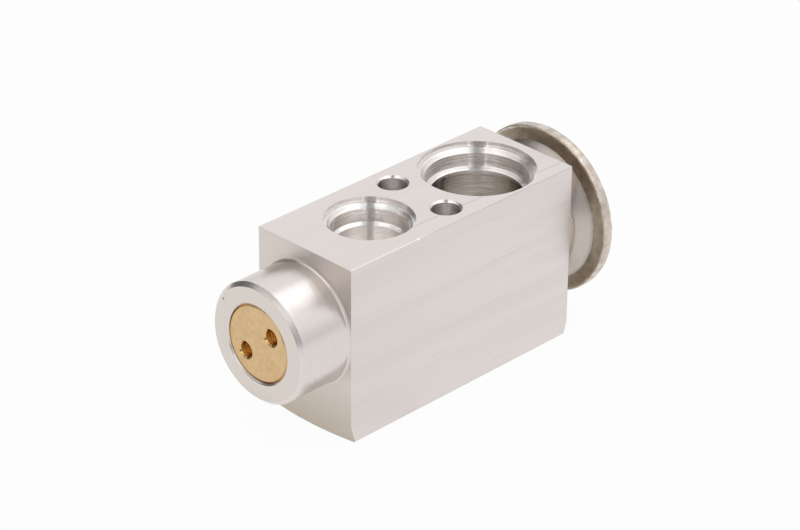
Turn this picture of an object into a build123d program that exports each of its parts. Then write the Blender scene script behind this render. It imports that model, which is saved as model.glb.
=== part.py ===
from build123d import *
import math
import os

# Block-type expansion valve for a vehicle air conditioner, in millimetres.
# The origin is midway between the two bolt holes, on the bottom face.
# +X runs along the valve axis to the power head, +Y across the block, +Z out of the port face.

# Block, sawn from an extruded bar and turned about the valve axis at both ends
block_width = 28.0
block_height = 42.3
front_length = 34.4
back_length = 33.9
bar_corner_r = 0.3
axis_height = 24.6
boss_inset = 0.1
spigot_length = 13.95
spigot_chamfer = 0.9
spigot_root_fillet = 0.6
head_boss_height = 2.0
head_boss_chamfer = 0.3
front_cone_start_r = 24.7
back_cone_start_r = 25.6
end_cone_angle = 19.0

# Bolt holes through the block, from the port face to the bottom face
bolt_spacing = 16.14
bolt_hole_r = 3.2
bolt_hole_chamfer = 0.47

# Ports: each socket's radius, then the steps outwards from it; depths run from the port's face
inlet_x = -15.1
inlet_socket_r = 7.5
inlet_bore_step = 0.95
inlet_cone_width = 0.9
inlet_ledge_width = 0.63
inlet_depth = 10.3
suction_x = 18.3
suction_passage_r = 10.4
suction_bore_step = 1.2
suction_cone_width = 1.0
suction_ledge_width = 0.68
rim_depth = 1.15
port_cone_depth = 1.0
port_bore_depth = 5.25
socket_cone_depth = 0.55
outlet_x = -12.6
outlet_socket_r = 7.0
lower_bore_step = 0.6
outlet_depth = 12.0
lower_rim_chamfer = 0.9
lower_bore_depth = 8.0

# How far a cutter runs past the face that it opens, and the angle of a drill's point
overshoot = 1.0
drill_point_angle = 118.0

# Bores along the valve axis
plug_bore_r = 9.0
plug_bore_depth = 12.7
plug_bore_chamfer = 0.35
chamber_r = 6.5
seat_x = -15.3
ball_r = 2.4
orifice_r = 1.5
pin_r = 1.5
pin_clearance = 0.05
seal_pocket_r = 3.3
seal_pocket_x = 3.0

# Cross drillings
inlet_drill_x = -19.0
inlet_drill_r = 3.2
outlet_drill_x = -9.0
outlet_drill_r = 3.0

# Power head: a neck screwed into the block, and two pressed shells welded round the diaphragm
neck_inset = 3.48
neck_wall = 2.02
neck_length = 6.4
neck_chamfer = 0.5
neck_hole_clearance = 0.08
neck_hole_extra = 0.3
seal_land = 0.8
shell_thickness = 1.0
lower_base_inset = 0.2
lower_corner_fillet = 0.5
flare_spread = 3.0
flare_height = 2.85
flange_width = 2.7
flange_rise = 0.45
flange_thickness = 1.1
diaphragm_thickness = 0.2
diaphragm_flat_margin = 0.6
diaphragm_clamp_margin = 0.3
waves = 4
wave_height = 0.25
weld_bead = 0.7
weld_lip = 0.12
weld_crown = 0.45
dome_rim_width = 2.0
dome_slope_width = 4.8
dome_height = 3.6
dome_fillet = 1.4
fill_hole_r = 1.5
fill_plug_head_r = 2.7
fill_plug_head_height = 1.1

# Moving train: stopper, sensing rod, pin, ball and carrier
stopper_margin = 1.7
stopper_thickness = 1.5
stopper_hub_r = 4.6
stopper_hub_length = 4.0
stopper_edge = 0.4
rod_r = 2.8
rod_edge = 0.3
rod_seat_depth = 3.0
rod_passage_clearance = 1.5
rod_way_clearance = 1.6
pin_seat_depth = 3.0
pin_tip_r = 0.9
pin_shoulder_length = 0.6
join_clearance = 0.05
ball_seat_gap = 0.1
carrier_cone_margin = 0.5
carrier_head_r = 3.4
carrier_head_length = 1.6
carrier_flange_margin = 0.55
carrier_flange_thickness = 1.2
carrier_spigot_clearance = 0.45
carrier_spigot_length = 3.2

# Vibration damper clip on the carrier
damper_sheet = 0.3
damper_wall_clearance = 0.1
damper_leg_length = 8.0
damper_leg_width = 2.6
damper_legs = 3

# Bias spring
spring_wire_r = 0.55
spring_mean_r = 4.3
spring_turns = 6.5

# Adjusting plug with two holes for a pin spanner
plug_clearance = 0.05
plug_recess = 0.3
plug_length = 9.7
plug_chamfer = 0.45
plug_pocket_clearance = 0.85
plug_pocket_depth = 5.0
plug_groove_depth = 1.3
plug_groove_width = 1.6
plug_groove_land = 1.1
spanner_hole_r = 1.75
spanner_hole_depth = 2.8
spanner_hole_countersink = 0.4
spanner_spacing = 9.8
spanner_angle = -38.0

# Seals
head_ring_wire_r = 0.75
ring_clearance = 0.05
washer_thickness = 0.8
retainer_thickness = 0.5
retainer_dish = 0.5
retainer_teeth = 6
retainer_slot_width = 0.7

# Radii worked out from the sizes above
turned_boss_r = block_width / 2 - boss_inset
inlet_bore_r = inlet_socket_r + inlet_bore_step
inlet_ledge_r = inlet_bore_r + inlet_cone_width
inlet_rim_r = inlet_ledge_r + inlet_ledge_width
suction_bore_r = suction_passage_r + suction_bore_step
suction_ledge_r = suction_bore_r + suction_cone_width
suction_rim_r = suction_ledge_r + suction_ledge_width
outlet_bore_r = outlet_socket_r + lower_bore_step
return_bore_r = suction_passage_r + lower_bore_step
plug_r = plug_bore_r - plug_clearance
plug_pocket_r = spring_mean_r + spring_wire_r + plug_pocket_clearance
plug_ring_wire_r = (plug_groove_depth + plug_clearance) / 2 - ring_clearance
pin_ring_wire_r = (seal_pocket_r - pin_r) / 2 - ring_clearance
carrier_flange_r = spring_mean_r + spring_wire_r + carrier_flange_margin
carrier_spigot_r = spring_mean_r - spring_wire_r - carrier_spigot_clearance
rod_way_r = rod_r + rod_way_clearance
neck_r = turned_boss_r - neck_inset
neck_bore_r = neck_r - neck_wall
lower_base_r = turned_boss_r - lower_base_inset
flare_r = lower_base_r + flare_spread
flange_r = flare_r + flange_width
weld_r = flange_r + weld_bead
dome_foot_r = flange_r - dome_rim_width
dome_shoulder_r = dome_foot_r - dome_slope_width
flare_lean = flare_spread / flare_height
inner_base_r = lower_base_r + shell_thickness * (flare_lean - math.hypot(1, flare_lean))
stopper_r = inner_base_r - stopper_margin

# Places worked out from the sizes above
front_x = -front_length
back_x = back_length
spigot_x = front_x - spigot_length
head_boss_x = back_x + head_boss_height
chamber_x = spigot_x + plug_bore_depth
plug_face_x = spigot_x + plug_recess
plug_end_x = plug_face_x + plug_length
passage_left_x = suction_x - suction_passage_r
passage_right_x = suction_x + suction_passage_r
cone_slope = math.tan(math.radians(end_cone_angle))
half_root = math.sqrt(0.5)
tallest_side = max(axis_height, block_height - axis_height)
corner_r = math.hypot(block_width / 2, tallest_side) + overshoot

# The ball rests on a 45 degree cone that widens from the orifice to the ball's own radius
seat_contact_x = seat_x + ball_r - ball_r * half_root
ball_x = seat_contact_x - ball_r * half_root - ball_seat_gap
carrier_cone_r = ball_r * half_root + carrier_cone_margin
carrier_face_x = ball_x - ball_r * half_root + carrier_cone_margin - join_clearance

# The power head's own stations along the axis
flare_x = head_boss_x + flare_height
flange_x = flare_x + flange_rise
diaphragm_x = flange_x + flange_thickness
upper_flange_x = diaphragm_x + diaphragm_thickness
weld_end_x = upper_flange_x + flange_thickness
inner_base_x = head_boss_x + shell_thickness
inner_rim_r = inner_base_r + flare_lean * (diaphragm_x - inner_base_x)
stopper_face_x = diaphragm_x - join_clearance
rod_end_x = stopper_face_x - stopper_thickness - stopper_hub_length + rod_seat_depth
rod_start_x = passage_left_x + rod_passage_clearance

valve_axis = Axis((0, 0, axis_height), (1, 0, 0))


def turned(points):
    """Solid turned about the valve axis from (x, radius) points."""
    outline = Polyline([(x, 0, axis_height + r) for x, r in points], close=True)
    return revolve(make_face(outline), valve_axis, 360)


def bored(x, y, points):
    """Solid turned about a vertical axis at x, y from (radius, z) points."""
    outline = Polyline([(x + r, y, z) for r, z in points], close=True)
    return revolve(make_face(outline), Axis((x, y, 0), (0, 0, 1)), 360)


def ring(x, mean_r, wire_r):
    """Round-section ring about the valve axis."""
    return Plane((x, 0, axis_height), z_dir=(1, 0, 0)) * Torus(mean_r, wire_r)


def turning_envelope():
    """What the lathe leaves of the bar: spigot, end faces with their cones, and head boss."""
    rise = corner_r - front_cone_start_r
    drop = corner_r - back_cone_start_r
    outline = Polyline(
        [
            (spigot_x, 0, axis_height),
            (spigot_x, 0, axis_height + turned_boss_r - spigot_chamfer),
            (spigot_x + spigot_chamfer, 0, axis_height + turned_boss_r),
            (front_x, 0, axis_height + turned_boss_r),
            (front_x, 0, axis_height + front_cone_start_r),
            (front_x + rise * cone_slope, 0, axis_height + corner_r),
            (back_x - drop * cone_slope, 0, axis_height + corner_r),
            (back_x, 0, axis_height + back_cone_start_r),
            (back_x, 0, axis_height + turned_boss_r),
            (head_boss_x - head_boss_chamfer, 0, axis_height + turned_boss_r),
            (head_boss_x, 0, axis_height + turned_boss_r - head_boss_chamfer),
            (head_boss_x, 0, axis_height),
        ],
        close=True,
    )
    face = make_face(outline)
    root = face.vertices().filter_by(lambda v: abs(v.X - front_x) < 0.01
                                     and abs(v.Z - axis_height - turned_boss_r) < 0.01)
    return revolve(fillet(root, spigot_root_fillet), valve_axis, 360)


def port(x, rim_r, ledge_r, bore_r, socket_r, depth):
    """Cutter for a port with a sunk rim, a lead-in cone, a seal bore and a narrower socket."""
    steps = [
        (0, -overshoot),
        (rim_r, -overshoot),
        (rim_r, rim_depth),
        (ledge_r, rim_depth),
        (bore_r, rim_depth + port_cone_depth),
        (bore_r, port_bore_depth),
        (socket_r, port_bore_depth + socket_cone_depth),
        (socket_r, depth),
        (0, depth),
    ]
    return bored(x, 0, [(r, block_height - down) for r, down in steps])


def lower_port(x, bore_r, socket_r, depth):
    """Cutter for a port in the bottom face, with a chamfered mouth."""
    return bored(
        x,
        0,
        [
            (0, -overshoot),
            (bore_r + lower_rim_chamfer + overshoot, -overshoot),
            (bore_r, lower_rim_chamfer),
            (bore_r, lower_bore_depth),
            (socket_r, lower_bore_depth + socket_cone_depth),
            (socket_r, depth),
            (0, depth),
        ],
    )


def bolt_hole(y):
    """Cutter for one bolt hole, chamfered at the port face."""
    rim_r = bolt_hole_r + bolt_hole_chamfer
    return bored(
        0,
        y,
        [
            (0, -overshoot),
            (bolt_hole_r, -overshoot),
            (bolt_hole_r, block_height - bolt_hole_chamfer),
            (rim_r, block_height),
            (rim_r, block_height + overshoot),
            (0, block_height + overshoot),
        ],
    )


def axis_bores():
    """Cutter for everything bored along the valve axis."""
    mouth_r = plug_bore_r + plug_bore_chamfer
    guide_r = pin_r + pin_clearance
    front = turned(
        [
            (spigot_x - overshoot, 0),
            (spigot_x - overshoot, mouth_r),
            (spigot_x, mouth_r),
            (spigot_x + plug_bore_chamfer, plug_bore_r),
            (chamber_x, plug_bore_r),
            (chamber_x, chamber_r),
            (seat_x, chamber_r),
            (seat_x, ball_r),
            (seat_x + ball_r - orifice_r, orifice_r),
            (outlet_drill_x, orifice_r),
            (outlet_drill_x, guide_r),
            (seal_pocket_x, guide_r),
            (seal_pocket_x, seal_pocket_r),
            (passage_left_x + overshoot, seal_pocket_r),
            (passage_left_x + overshoot, 0),
        ]
    )
    neck_hole_r = neck_r + neck_hole_clearance
    land_r = turned_boss_r - seal_land
    hole_end_x = head_boss_x - neck_length - neck_hole_extra
    head = turned(
        [
            (passage_right_x - overshoot, 0),
            (passage_right_x - overshoot, rod_way_r),
            (hole_end_x, rod_way_r),
            (hole_end_x, neck_hole_r),
            (head_boss_x - land_r + neck_hole_r, neck_hole_r),
            (head_boss_x, land_r),
            (head_boss_x + overshoot, land_r),
            (head_boss_x + overshoot, 0),
        ]
    )
    return [front, head]


def drilling(x, r, mouth_z, end_z):
    """Cutter for a vertical drilling from its mouth to its full width's end, with a drill's point."""
    away = math.copysign(1, end_z - mouth_z)
    point = r / math.tan(math.radians(drill_point_angle / 2))
    start_z = mouth_z - away * overshoot
    return bored(x, 0, [(0, start_z), (r, start_z), (r, end_z), (0, end_z + away * point)])


def valve_body():
    """Extruded aluminium block, turned at both ends and bored for the ports and the valve."""
    length = head_boss_x - spigot_x
    bar = Pos((head_boss_x + spigot_x) / 2, 0, block_height / 2) * Box(length, block_width, block_height)
    bar = fillet(bar.edges().filter_by(Axis.X), bar_corner_r)
    body = bar & turning_envelope()
    inlet = port(inlet_x, inlet_rim_r, inlet_ledge_r, inlet_bore_r, inlet_socket_r, inlet_depth)
    suction = port(suction_x, suction_rim_r, suction_ledge_r, suction_bore_r, suction_passage_r,
                   block_height / 2)
    outlet = lower_port(outlet_x, outlet_bore_r, outlet_socket_r, outlet_depth)
    evaporator_return = lower_port(suction_x, return_bore_r, suction_passage_r, block_height / 2)
    inlet_feed = drilling(inlet_drill_x, inlet_drill_r, block_height - inlet_depth, axis_height)
    outlet_feed = drilling(outlet_drill_x, outlet_drill_r, outlet_depth, axis_height + pin_r)
    body -= [inlet, suction, outlet, evaporator_return, inlet_feed, outlet_feed]
    body -= [bolt_hole(side * bolt_spacing / 2) for side in (-1, 1)]
    body -= axis_bores()
    return body


def adjusting_plug():
    """Brass plug screwed into the spigot, with a seal groove, a spring pocket and spanner holes."""
    groove_end_x = plug_end_x - plug_groove_land
    groove_x = groove_end_x - plug_groove_width
    groove_r = plug_r - plug_groove_depth
    pocket_x = plug_end_x - plug_pocket_depth
    plug = turned(
        [
            (plug_face_x, 0),
            (plug_face_x, plug_r - plug_chamfer),
            (plug_face_x + plug_chamfer, plug_r),
            (groove_x, plug_r),
            (groove_x, groove_r),
            (groove_end_x, groove_r),
            (groove_end_x, plug_r),
            (plug_end_x - plug_chamfer, plug_r),
            (plug_end_x, plug_r - plug_chamfer),
            (plug_end_x, plug_pocket_r),
            (pocket_x, plug_pocket_r),
            (pocket_x, 0),
        ]
    )
    for side in (-1, 1):
        angle = math.radians(spanner_angle)
        y = side * spanner_spacing / 2 * math.cos(angle)
        z = axis_height + side * spanner_spacing / 2 * math.sin(angle)
        mouth_r = spanner_hole_r + spanner_hole_countersink
        outline = Polyline(
            [
                (plug_face_x - overshoot, y, z),
                (plug_face_x - overshoot, y, z + mouth_r),
                (plug_face_x, y, z + mouth_r),
                (plug_face_x + spanner_hole_countersink, y, z + spanner_hole_r),
                (plug_face_x + spanner_hole_depth, y, z + spanner_hole_r),
                (plug_face_x + spanner_hole_depth + spanner_hole_r / 2, y, z),
            ],
            close=True,
        )
        plug -= revolve(make_face(outline), Axis((0, y, z), (1, 0, 0)), 360)
    return plug


def plug_seal_ring():
    """Rubber ring in the plug's groove."""
    x = plug_end_x - plug_groove_land - plug_groove_width / 2
    groove_floor_r = plug_r - plug_groove_depth
    return ring(x, (groove_floor_r + plug_bore_r) / 2, plug_ring_wire_r)


def spring_ends():
    """Where the bias spring starts, in the plug's pocket, and ends, on the carrier's flange."""
    start_x = plug_end_x - plug_pocket_depth
    end_x = carrier_face_x - carrier_head_length - carrier_flange_thickness
    return start_x, end_x


def bias_spring():
    """Coil spring between plug and carrier, with ends ground flat."""
    start_x, end_x = spring_ends()
    height = end_x - start_x
    place = Plane((start_x, 0, axis_height), x_dir=(0, 1, 0), z_dir=(1, 0, 0))
    pitch = height / spring_turns
    path = Helix(pitch, height, spring_mean_r)
    coil = sweep(Plane(path @ 0, z_dir=path % 0) * Circle(spring_wire_r), path=path, is_frenet=True)
    reach = 2 * (spring_mean_r + spring_wire_r + overshoot)
    ground = Pos(0, 0, height / 2) * Box(reach, reach, height)
    return place * (coil & ground)


def ball_carrier():
    """Turned carrier: a cone for the ball, a flange for the spring and a spigot inside it."""
    flange_x0 = carrier_face_x - carrier_head_length
    spigot_start_x = flange_x0 - carrier_flange_thickness
    return turned(
        [
            (carrier_face_x - carrier_cone_r, 0),
            (carrier_face_x, carrier_cone_r),
            (carrier_face_x, carrier_head_r),
            (flange_x0, carrier_head_r),
            (flange_x0, carrier_flange_r),
            (spigot_start_x, carrier_flange_r),
            (spigot_start_x, carrier_spigot_r),
            (spigot_start_x - carrier_spigot_length, carrier_spigot_r),
            (spigot_start_x - carrier_spigot_length, 0),
        ]
    )


def valve_ball():
    """Steel ball that closes the orifice."""
    return Pos(ball_x, 0, axis_height) * Sphere(ball_r)


def vibration_damper():
    """Spring clip on the carrier, whose legs rub along the chamber wall."""
    back_x0 = carrier_face_x - carrier_head_length
    outer_r = chamber_r - damper_wall_clearance
    inner_r = outer_r - damper_sheet
    hole_r = carrier_head_r + join_clearance
    cup = turned(
        [
            (back_x0 + damper_sheet, hole_r),
            (back_x0 + damper_sheet, outer_r),
            (back_x0 - damper_leg_length, outer_r),
            (back_x0 - damper_leg_length, inner_r),
            (back_x0, inner_r),
            (back_x0, hole_r),
        ]
    )
    span = damper_sheet + damper_leg_length
    keep = Pos(back_x0, 0, axis_height) * Rot(0, 90, 0) * Cylinder(carrier_flange_r, 2 * span)
    for leg in range(damper_legs):
        place = Pos(back_x0, 0, axis_height) * Rot(360 / damper_legs * leg, 0, 0)
        keep += place * Pos(0, 0, chamber_r / 2) * Box(2 * span, damper_leg_width, chamber_r)
    return cup & keep


def operating_pin():
    """Stepped steel pin: its tip pushes the ball, its shank is guided in the block."""
    tip_x = ball_x + ball_r + join_clearance
    shank_x = outlet_drill_x + outlet_drill_r + pin_shoulder_length / 2
    end_x = rod_start_x + pin_seat_depth
    return turned(
        [
            (tip_x, 0),
            (tip_x, pin_tip_r),
            (shank_x - pin_shoulder_length, pin_tip_r),
            (shank_x, pin_r),
            (end_x, pin_r),
            (end_x, 0),
        ]
    )


def washer_start_x():
    """Left face of the washer behind the pin's seal ring."""
    return seal_pocket_x + 2 * (pin_ring_wire_r + ring_clearance)


def pin_seal_ring():
    """Rubber ring round the pin, in the pocket beside the suction passage."""
    x = (seal_pocket_x + washer_start_x()) / 2
    return ring(x, (pin_r + seal_pocket_r) / 2, pin_ring_wire_r)


def seal_washer():
    """Flat plastic washer behind the pin's seal ring."""
    left = washer_start_x()
    hole_r = pin_r + ring_clearance
    rim_r = seal_pocket_r - ring_clearance
    return turned([(left, hole_r), (left, rim_r), (left + washer_thickness, rim_r),
                   (left + washer_thickness, hole_r)])


def seal_retainer():
    """Dished spring-steel washer with slotted teeth that grip the pocket."""
    left = washer_start_x() + washer_thickness
    hole_r = pin_r + 3 * ring_clearance
    rim_r = seal_pocket_r - ring_clearance / 2
    middle_r = (hole_r + rim_r) / 2
    washer = turned(
        [
            (left, hole_r),
            (left, middle_r),
            (left + retainer_dish, rim_r),
            (left + retainer_dish + retainer_thickness, rim_r),
            (left + retainer_thickness, middle_r),
            (left + retainer_thickness, hole_r),
        ]
    )
    slots = []
    for tooth in range(retainer_teeth):
        place = Pos(left, 0, axis_height) * Rot(360 / retainer_teeth * tooth, 0, 0)
        slots.append(place * Pos(0, 0, middle_r + rim_r / 2)
                     * Box(4 * retainer_thickness, retainer_slot_width, rim_r))
    return washer - slots


def sensing_rod():
    """Rod across the suction passage; the pin sits in one end, the other in the stopper's hub."""
    seat_end_x = rod_start_x + pin_seat_depth + join_clearance
    return turned(
        [
            (rod_start_x, pin_r + join_clearance),
            (rod_start_x, rod_r - rod_edge),
            (rod_start_x + rod_edge, rod_r),
            (rod_end_x - rod_edge, rod_r),
            (rod_end_x, rod_r - rod_edge),
            (rod_end_x, 0),
            (seat_end_x, 0),
            (seat_end_x, pin_r + join_clearance),
        ]
    )


def diaphragm_stopper():
    """Disc under the diaphragm with a hub that takes the sensing rod."""
    disc_x = stopper_face_x - stopper_thickness
    hub_x = disc_x - stopper_hub_length
    seat_x0 = rod_end_x + join_clearance
    return turned(
        [
            (stopper_face_x, 0),
            (stopper_face_x, stopper_r - stopper_edge),
            (stopper_face_x - stopper_edge, stopper_r),
            (disc_x, stopper_r),
            (disc_x, stopper_hub_r),
            (hub_x, stopper_hub_r),
            (hub_x, rod_r + join_clearance),
            (seat_x0, rod_r + join_clearance),
            (seat_x0, 0),
        ]
    )


def diaphragm():
    """Thin steel disc with rings of corrugation round its flat middle."""
    start_r = stopper_r + diaphragm_flat_margin
    end_r = inner_rim_r - diaphragm_clamp_margin
    step = (end_r - start_r) / waves

    def side(x):
        radii = [start_r + step * i for i in range(waves + 1)]
        arcs = [
            ThreePointArc(
                (x, 0, axis_height + radii[i]),
                (x + wave_height * (-1) ** i, 0, axis_height + radii[i] + step / 2),
                (x, 0, axis_height + radii[i + 1]),
            )
            for i in range(waves)
        ]
        return [Line((x, 0, axis_height), (x, 0, axis_height + start_r))] + arcs + [
            Line((x, 0, axis_height + end_r), (x, 0, axis_height + flange_r))
        ]

    left = side(diaphragm_x)
    right = side(upper_flange_x)
    ends = [
        Line((diaphragm_x, 0, axis_height), (upper_flange_x, 0, axis_height)),
        Line((diaphragm_x, 0, axis_height + flange_r), (upper_flange_x, 0, axis_height + flange_r)),
    ]
    return revolve(make_face(left + right + ends), valve_axis, 360)


def lower_housing():
    """Steel neck, base and flared shell that screw into the block under the diaphragm."""
    neck_x = head_boss_x - neck_length
    outline = Polyline(
        [
            (neck_x, 0, axis_height + neck_bore_r),
            (neck_x, 0, axis_height + neck_r - neck_chamfer),
            (neck_x + neck_chamfer, 0, axis_height + neck_r),
            (head_boss_x, 0, axis_height + neck_r),
            (head_boss_x, 0, axis_height + lower_base_r),
            (flare_x, 0, axis_height + flare_r),
            (flange_x, 0, axis_height + flange_r),
            (diaphragm_x, 0, axis_height + flange_r),
            (diaphragm_x, 0, axis_height + inner_rim_r),
            (inner_base_x, 0, axis_height + inner_base_r),
            (inner_base_x, 0, axis_height + neck_bore_r),
        ],
        close=True,
    )
    face = make_face(outline)
    corner = face.vertices().filter_by(lambda v: abs(v.X - head_boss_x) < 0.01
                                       and abs(v.Z - axis_height - lower_base_r) < 0.01)
    return revolve(fillet(corner, lower_corner_fillet), valve_axis, 360)


def upper_housing():
    """Domed steel cap over the diaphragm, with the fill hole in its middle."""
    top_x = upper_flange_x + dome_height + flange_thickness
    under_x = top_x - flange_thickness
    outline = Polyline(
        [
            (upper_flange_x, 0, axis_height + flange_r),
            (weld_end_x, 0, axis_height + flange_r),
            (weld_end_x, 0, axis_height + dome_foot_r),
            (top_x, 0, axis_height + dome_shoulder_r),
            (top_x, 0, axis_height + fill_hole_r),
            (under_x, 0, axis_height + fill_hole_r),
            (under_x, 0, axis_height + dome_shoulder_r - flange_thickness / 2),
            (upper_flange_x, 0, axis_height + dome_foot_r - flange_thickness / 2),
        ],
        close=True,
    )
    face = make_face(outline)
    shoulder = face.vertices().filter_by(lambda v: abs(v.X - top_x) < 0.01
                                         and abs(v.Z - axis_height - dome_shoulder_r) < 0.01)
    foot = face.vertices().filter_by(lambda v: abs(v.X - weld_end_x) < 0.01
                                     and abs(v.Z - axis_height - dome_foot_r) < 0.01)
    return revolve(fillet(shoulder + foot, dome_fillet), valve_axis, 360)


def rim_weld():
    """Bead that closes the edge of both shells and the diaphragm."""
    start_x = flange_x - weld_lip
    end_x = weld_end_x + weld_lip
    middle_x = (start_x + end_x) / 2
    bead_r = weld_r - weld_crown
    inner = Line((start_x, 0, axis_height + flange_r), (end_x, 0, axis_height + flange_r))
    near = Line((start_x, 0, axis_height + flange_r), (start_x, 0, axis_height + bead_r))
    crown = ThreePointArc((start_x, 0, axis_height + bead_r), (middle_x, 0, axis_height + weld_r),
                          (end_x, 0, axis_height + bead_r))
    far = Line((end_x, 0, axis_height + bead_r), (end_x, 0, axis_height + flange_r))
    return revolve(make_face([inner, near, crown, far]), valve_axis, 360)


def fill_plug():
    """Welded plug that closes the fill hole."""
    top_x = upper_flange_x + dome_height + flange_thickness
    shank_r = fill_hole_r - join_clearance
    head_end_x = top_x + fill_plug_head_height
    return turned(
        [
            (top_x - flange_thickness, 0),
            (top_x - flange_thickness, shank_r),
            (top_x, shank_r),
            (top_x, fill_plug_head_r),
            (top_x + fill_plug_head_height / 2, fill_plug_head_r),
            (head_end_x, fill_plug_head_r - fill_plug_head_height / 2),
            (head_end_x, 0),
        ]
    )


def head_seal_ring():
    """Rubber ring in the chamfer round the power head's neck."""
    mean_r = neck_r + head_ring_wire_r + ring_clearance
    return ring(head_boss_x - head_ring_wire_r - ring_clearance, mean_r, head_ring_wire_r)


pieces = {
    "valve_body": valve_body,
    "adjusting_plug": adjusting_plug,
    "plug_seal_ring": plug_seal_ring,
    "bias_spring": bias_spring,
    "ball_carrier": ball_carrier,
    "valve_ball": valve_ball,
    "vibration_damper": vibration_damper,
    "operating_pin": operating_pin,
    "pin_seal_ring": pin_seal_ring,
    "seal_washer": seal_washer,
    "seal_retainer": seal_retainer,
    "sensing_rod": sensing_rod,
    "diaphragm_stopper": diaphragm_stopper,
    "diaphragm": diaphragm,
    "lower_housing": lower_housing,
    "upper_housing": upper_housing,
    "rim_weld": rim_weld,
    "fill_plug": fill_plug,
    "head_seal_ring": head_seal_ring,
}

os.makedirs("parts", exist_ok=True)
for name, make in pieces.items():
    export_step(make(), f"parts/{name}.step")
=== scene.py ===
"""Dresses the expansion valve's solids in metal, rubber and plastic, and lights them on a pale floor."""

import math

import bpy
from mathutils import Matrix, Vector


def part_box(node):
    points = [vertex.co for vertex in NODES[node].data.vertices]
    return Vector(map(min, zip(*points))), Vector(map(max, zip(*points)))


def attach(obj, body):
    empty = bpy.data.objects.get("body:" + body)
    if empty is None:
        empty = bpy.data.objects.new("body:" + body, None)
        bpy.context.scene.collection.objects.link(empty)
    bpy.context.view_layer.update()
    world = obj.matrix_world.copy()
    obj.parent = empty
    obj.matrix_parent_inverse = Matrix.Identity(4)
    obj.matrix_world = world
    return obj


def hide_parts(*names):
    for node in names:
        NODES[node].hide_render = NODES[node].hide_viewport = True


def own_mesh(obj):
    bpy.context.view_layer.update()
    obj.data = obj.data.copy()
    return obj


bl_info = {
    "name": "Expansion Valve",
    "version": (1, 0, 0),
    "blender": (4, 5, 0),
    "location": "3D View > Sidebar > Expansion Valve",
    "description": "Finishes a block-type expansion valve and sets up its studio",
    "category": "Object",
}

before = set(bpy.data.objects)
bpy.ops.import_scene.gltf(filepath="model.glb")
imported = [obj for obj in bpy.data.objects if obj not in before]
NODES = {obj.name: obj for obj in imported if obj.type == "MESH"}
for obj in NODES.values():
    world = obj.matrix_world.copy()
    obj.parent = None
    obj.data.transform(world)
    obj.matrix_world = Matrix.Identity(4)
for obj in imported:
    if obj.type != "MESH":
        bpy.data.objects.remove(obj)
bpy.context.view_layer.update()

MM = 0.001
WHITE = (1.0, 1.0, 1.0, 1.0)


def node_box(node):
    """A CAD node's lowest and highest corner, in millimetres to the hundredth."""
    return [[round(value / MM, 2) for value in corner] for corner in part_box(node)]


# The block's main sizes, in millimetres. Those that the frame's boxes don't give are the solids' own
BLOCK_LOW, BLOCK_HIGH = node_box("valve_body")
BLOCK_WIDTH = BLOCK_HIGH[1] - BLOCK_LOW[1]
BLOCK_HEIGHT = BLOCK_HIGH[2]
SPIGOT_X = BLOCK_LOW[0]
PLUG_LOW, PLUG_HIGH = node_box("adjusting_plug")
PLUG_FACE_X = PLUG_LOW[0]
AXIS_HEIGHT = (PLUG_LOW[2] + PLUG_HIGH[2]) / 2
FRONT_X = -34.4
BACK_X = 33.9
FRONT_CONE_START_R = 24.7
BACK_CONE_START_R = 25.6
END_CONE_SLOPE = math.tan(math.radians(19.0))
BAR_CORNER_R = 0.3
INLET_X = -15.1
OUTLET_X = -12.6
SUCTION_X = 18.3
PORT_SPLIT_X = 3.9
BOLT_Y = 8.07
BOLT_RIM_R = 3.75
BOLT_RIM_DEPTH = 0.6
# Depth in millimetres over which the painted shade deep in the suction passage fades in
DEEP_SHADE_FADE = 1.0

# How far a mask reaches past the face that it belongs to
CUT_MARGIN = 0.05
FACE_MARGIN = 0.02

# Small marks of use: a speck on the spigot's face, a nick on the upper long edge painted white as a glint,
# and a drawn line
SPECK_PLACE = (SPIGOT_X, 10.13, 31.63)
SPECK_R = 0.32
NICK_GLINT_PLACE = (-14.3, -13.9, BLOCK_HEIGHT)
NICK_GLINT_R = 0.42
SPOT_CORE_SHARE = 0.4
LINE_Y = -9.7
LINE_SLOPE = -0.04
LINE_HALF_WIDTH = 0.16
LINE_FAINT_SHARE = 0.2

# From here to the power head, the bar's long edges are rougher and carry painted shade
EDGE_SHADE_AND_WEAR_X = -12.0
EDGE_FADE = 3.0

# The spanner holes in the plug's face: their middles off the valve's axis, and their mouths
SPANNER_Y = 3.861
SPANNER_RISE = -3.017
SPANNER_MOUTH_R = 2.25

# The radii between which the head's steel changes colour, with a painted shadow on the base beside the
# block
HEAD_INNER_R = 12.0
BASE_SHADOW_END_R = 13.2
SHELL_START_R = 13.6
SHELL_END_R = 16.0
STAIN_START_R = 16.4
TINT_R = 16.8
STAIN_FULL_R = 17.0
WELD_INNER_R = 18.6
BURNT_R = 18.7
WELD_OUTER_R = 19.3
HEAD_OUTER_R = 20.0

# The bead's half height, its ripples and how square its section is, and the spring's ends and travel
BEAD_HALF_HEIGHT = 0.6
BEAD_RIPPLE = 2.2
BEAD_SQUARENESS = 4.0
SPRING_LOW_X, SPRING_HIGH_X = [corner[0] for corner in node_box("bias_spring")]

# How finely the bead and the spring are cut into faces
BEAD_STEPS = 480
BEAD_PROFILE_STEPS = 32
SPRING_STEPS = 500
WIRE_STEPS = 20

# How coarse each finish is, in millimetres. Streaks have a length and a width
SIDE_STREAKS = (45.0, 0.22)
PORT_FACE_STREAKS = (30.0, 0.3)
END_RING_PITCH = 0.12
BORE_RING_PITCH = 0.11
PLUG_RING_PITCH = 0.16
HEAD_RING_PITCH = 0.3
PLUG_PATCH_SIZE = 0.5
PLUG_MOTTLE_SIZE = 0.12
HEAD_PATCH_SIZE = 0.2
WELD_LUMP_SIZE = 1.1
WELD_GRAIN_SIZE = 0.2

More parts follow.
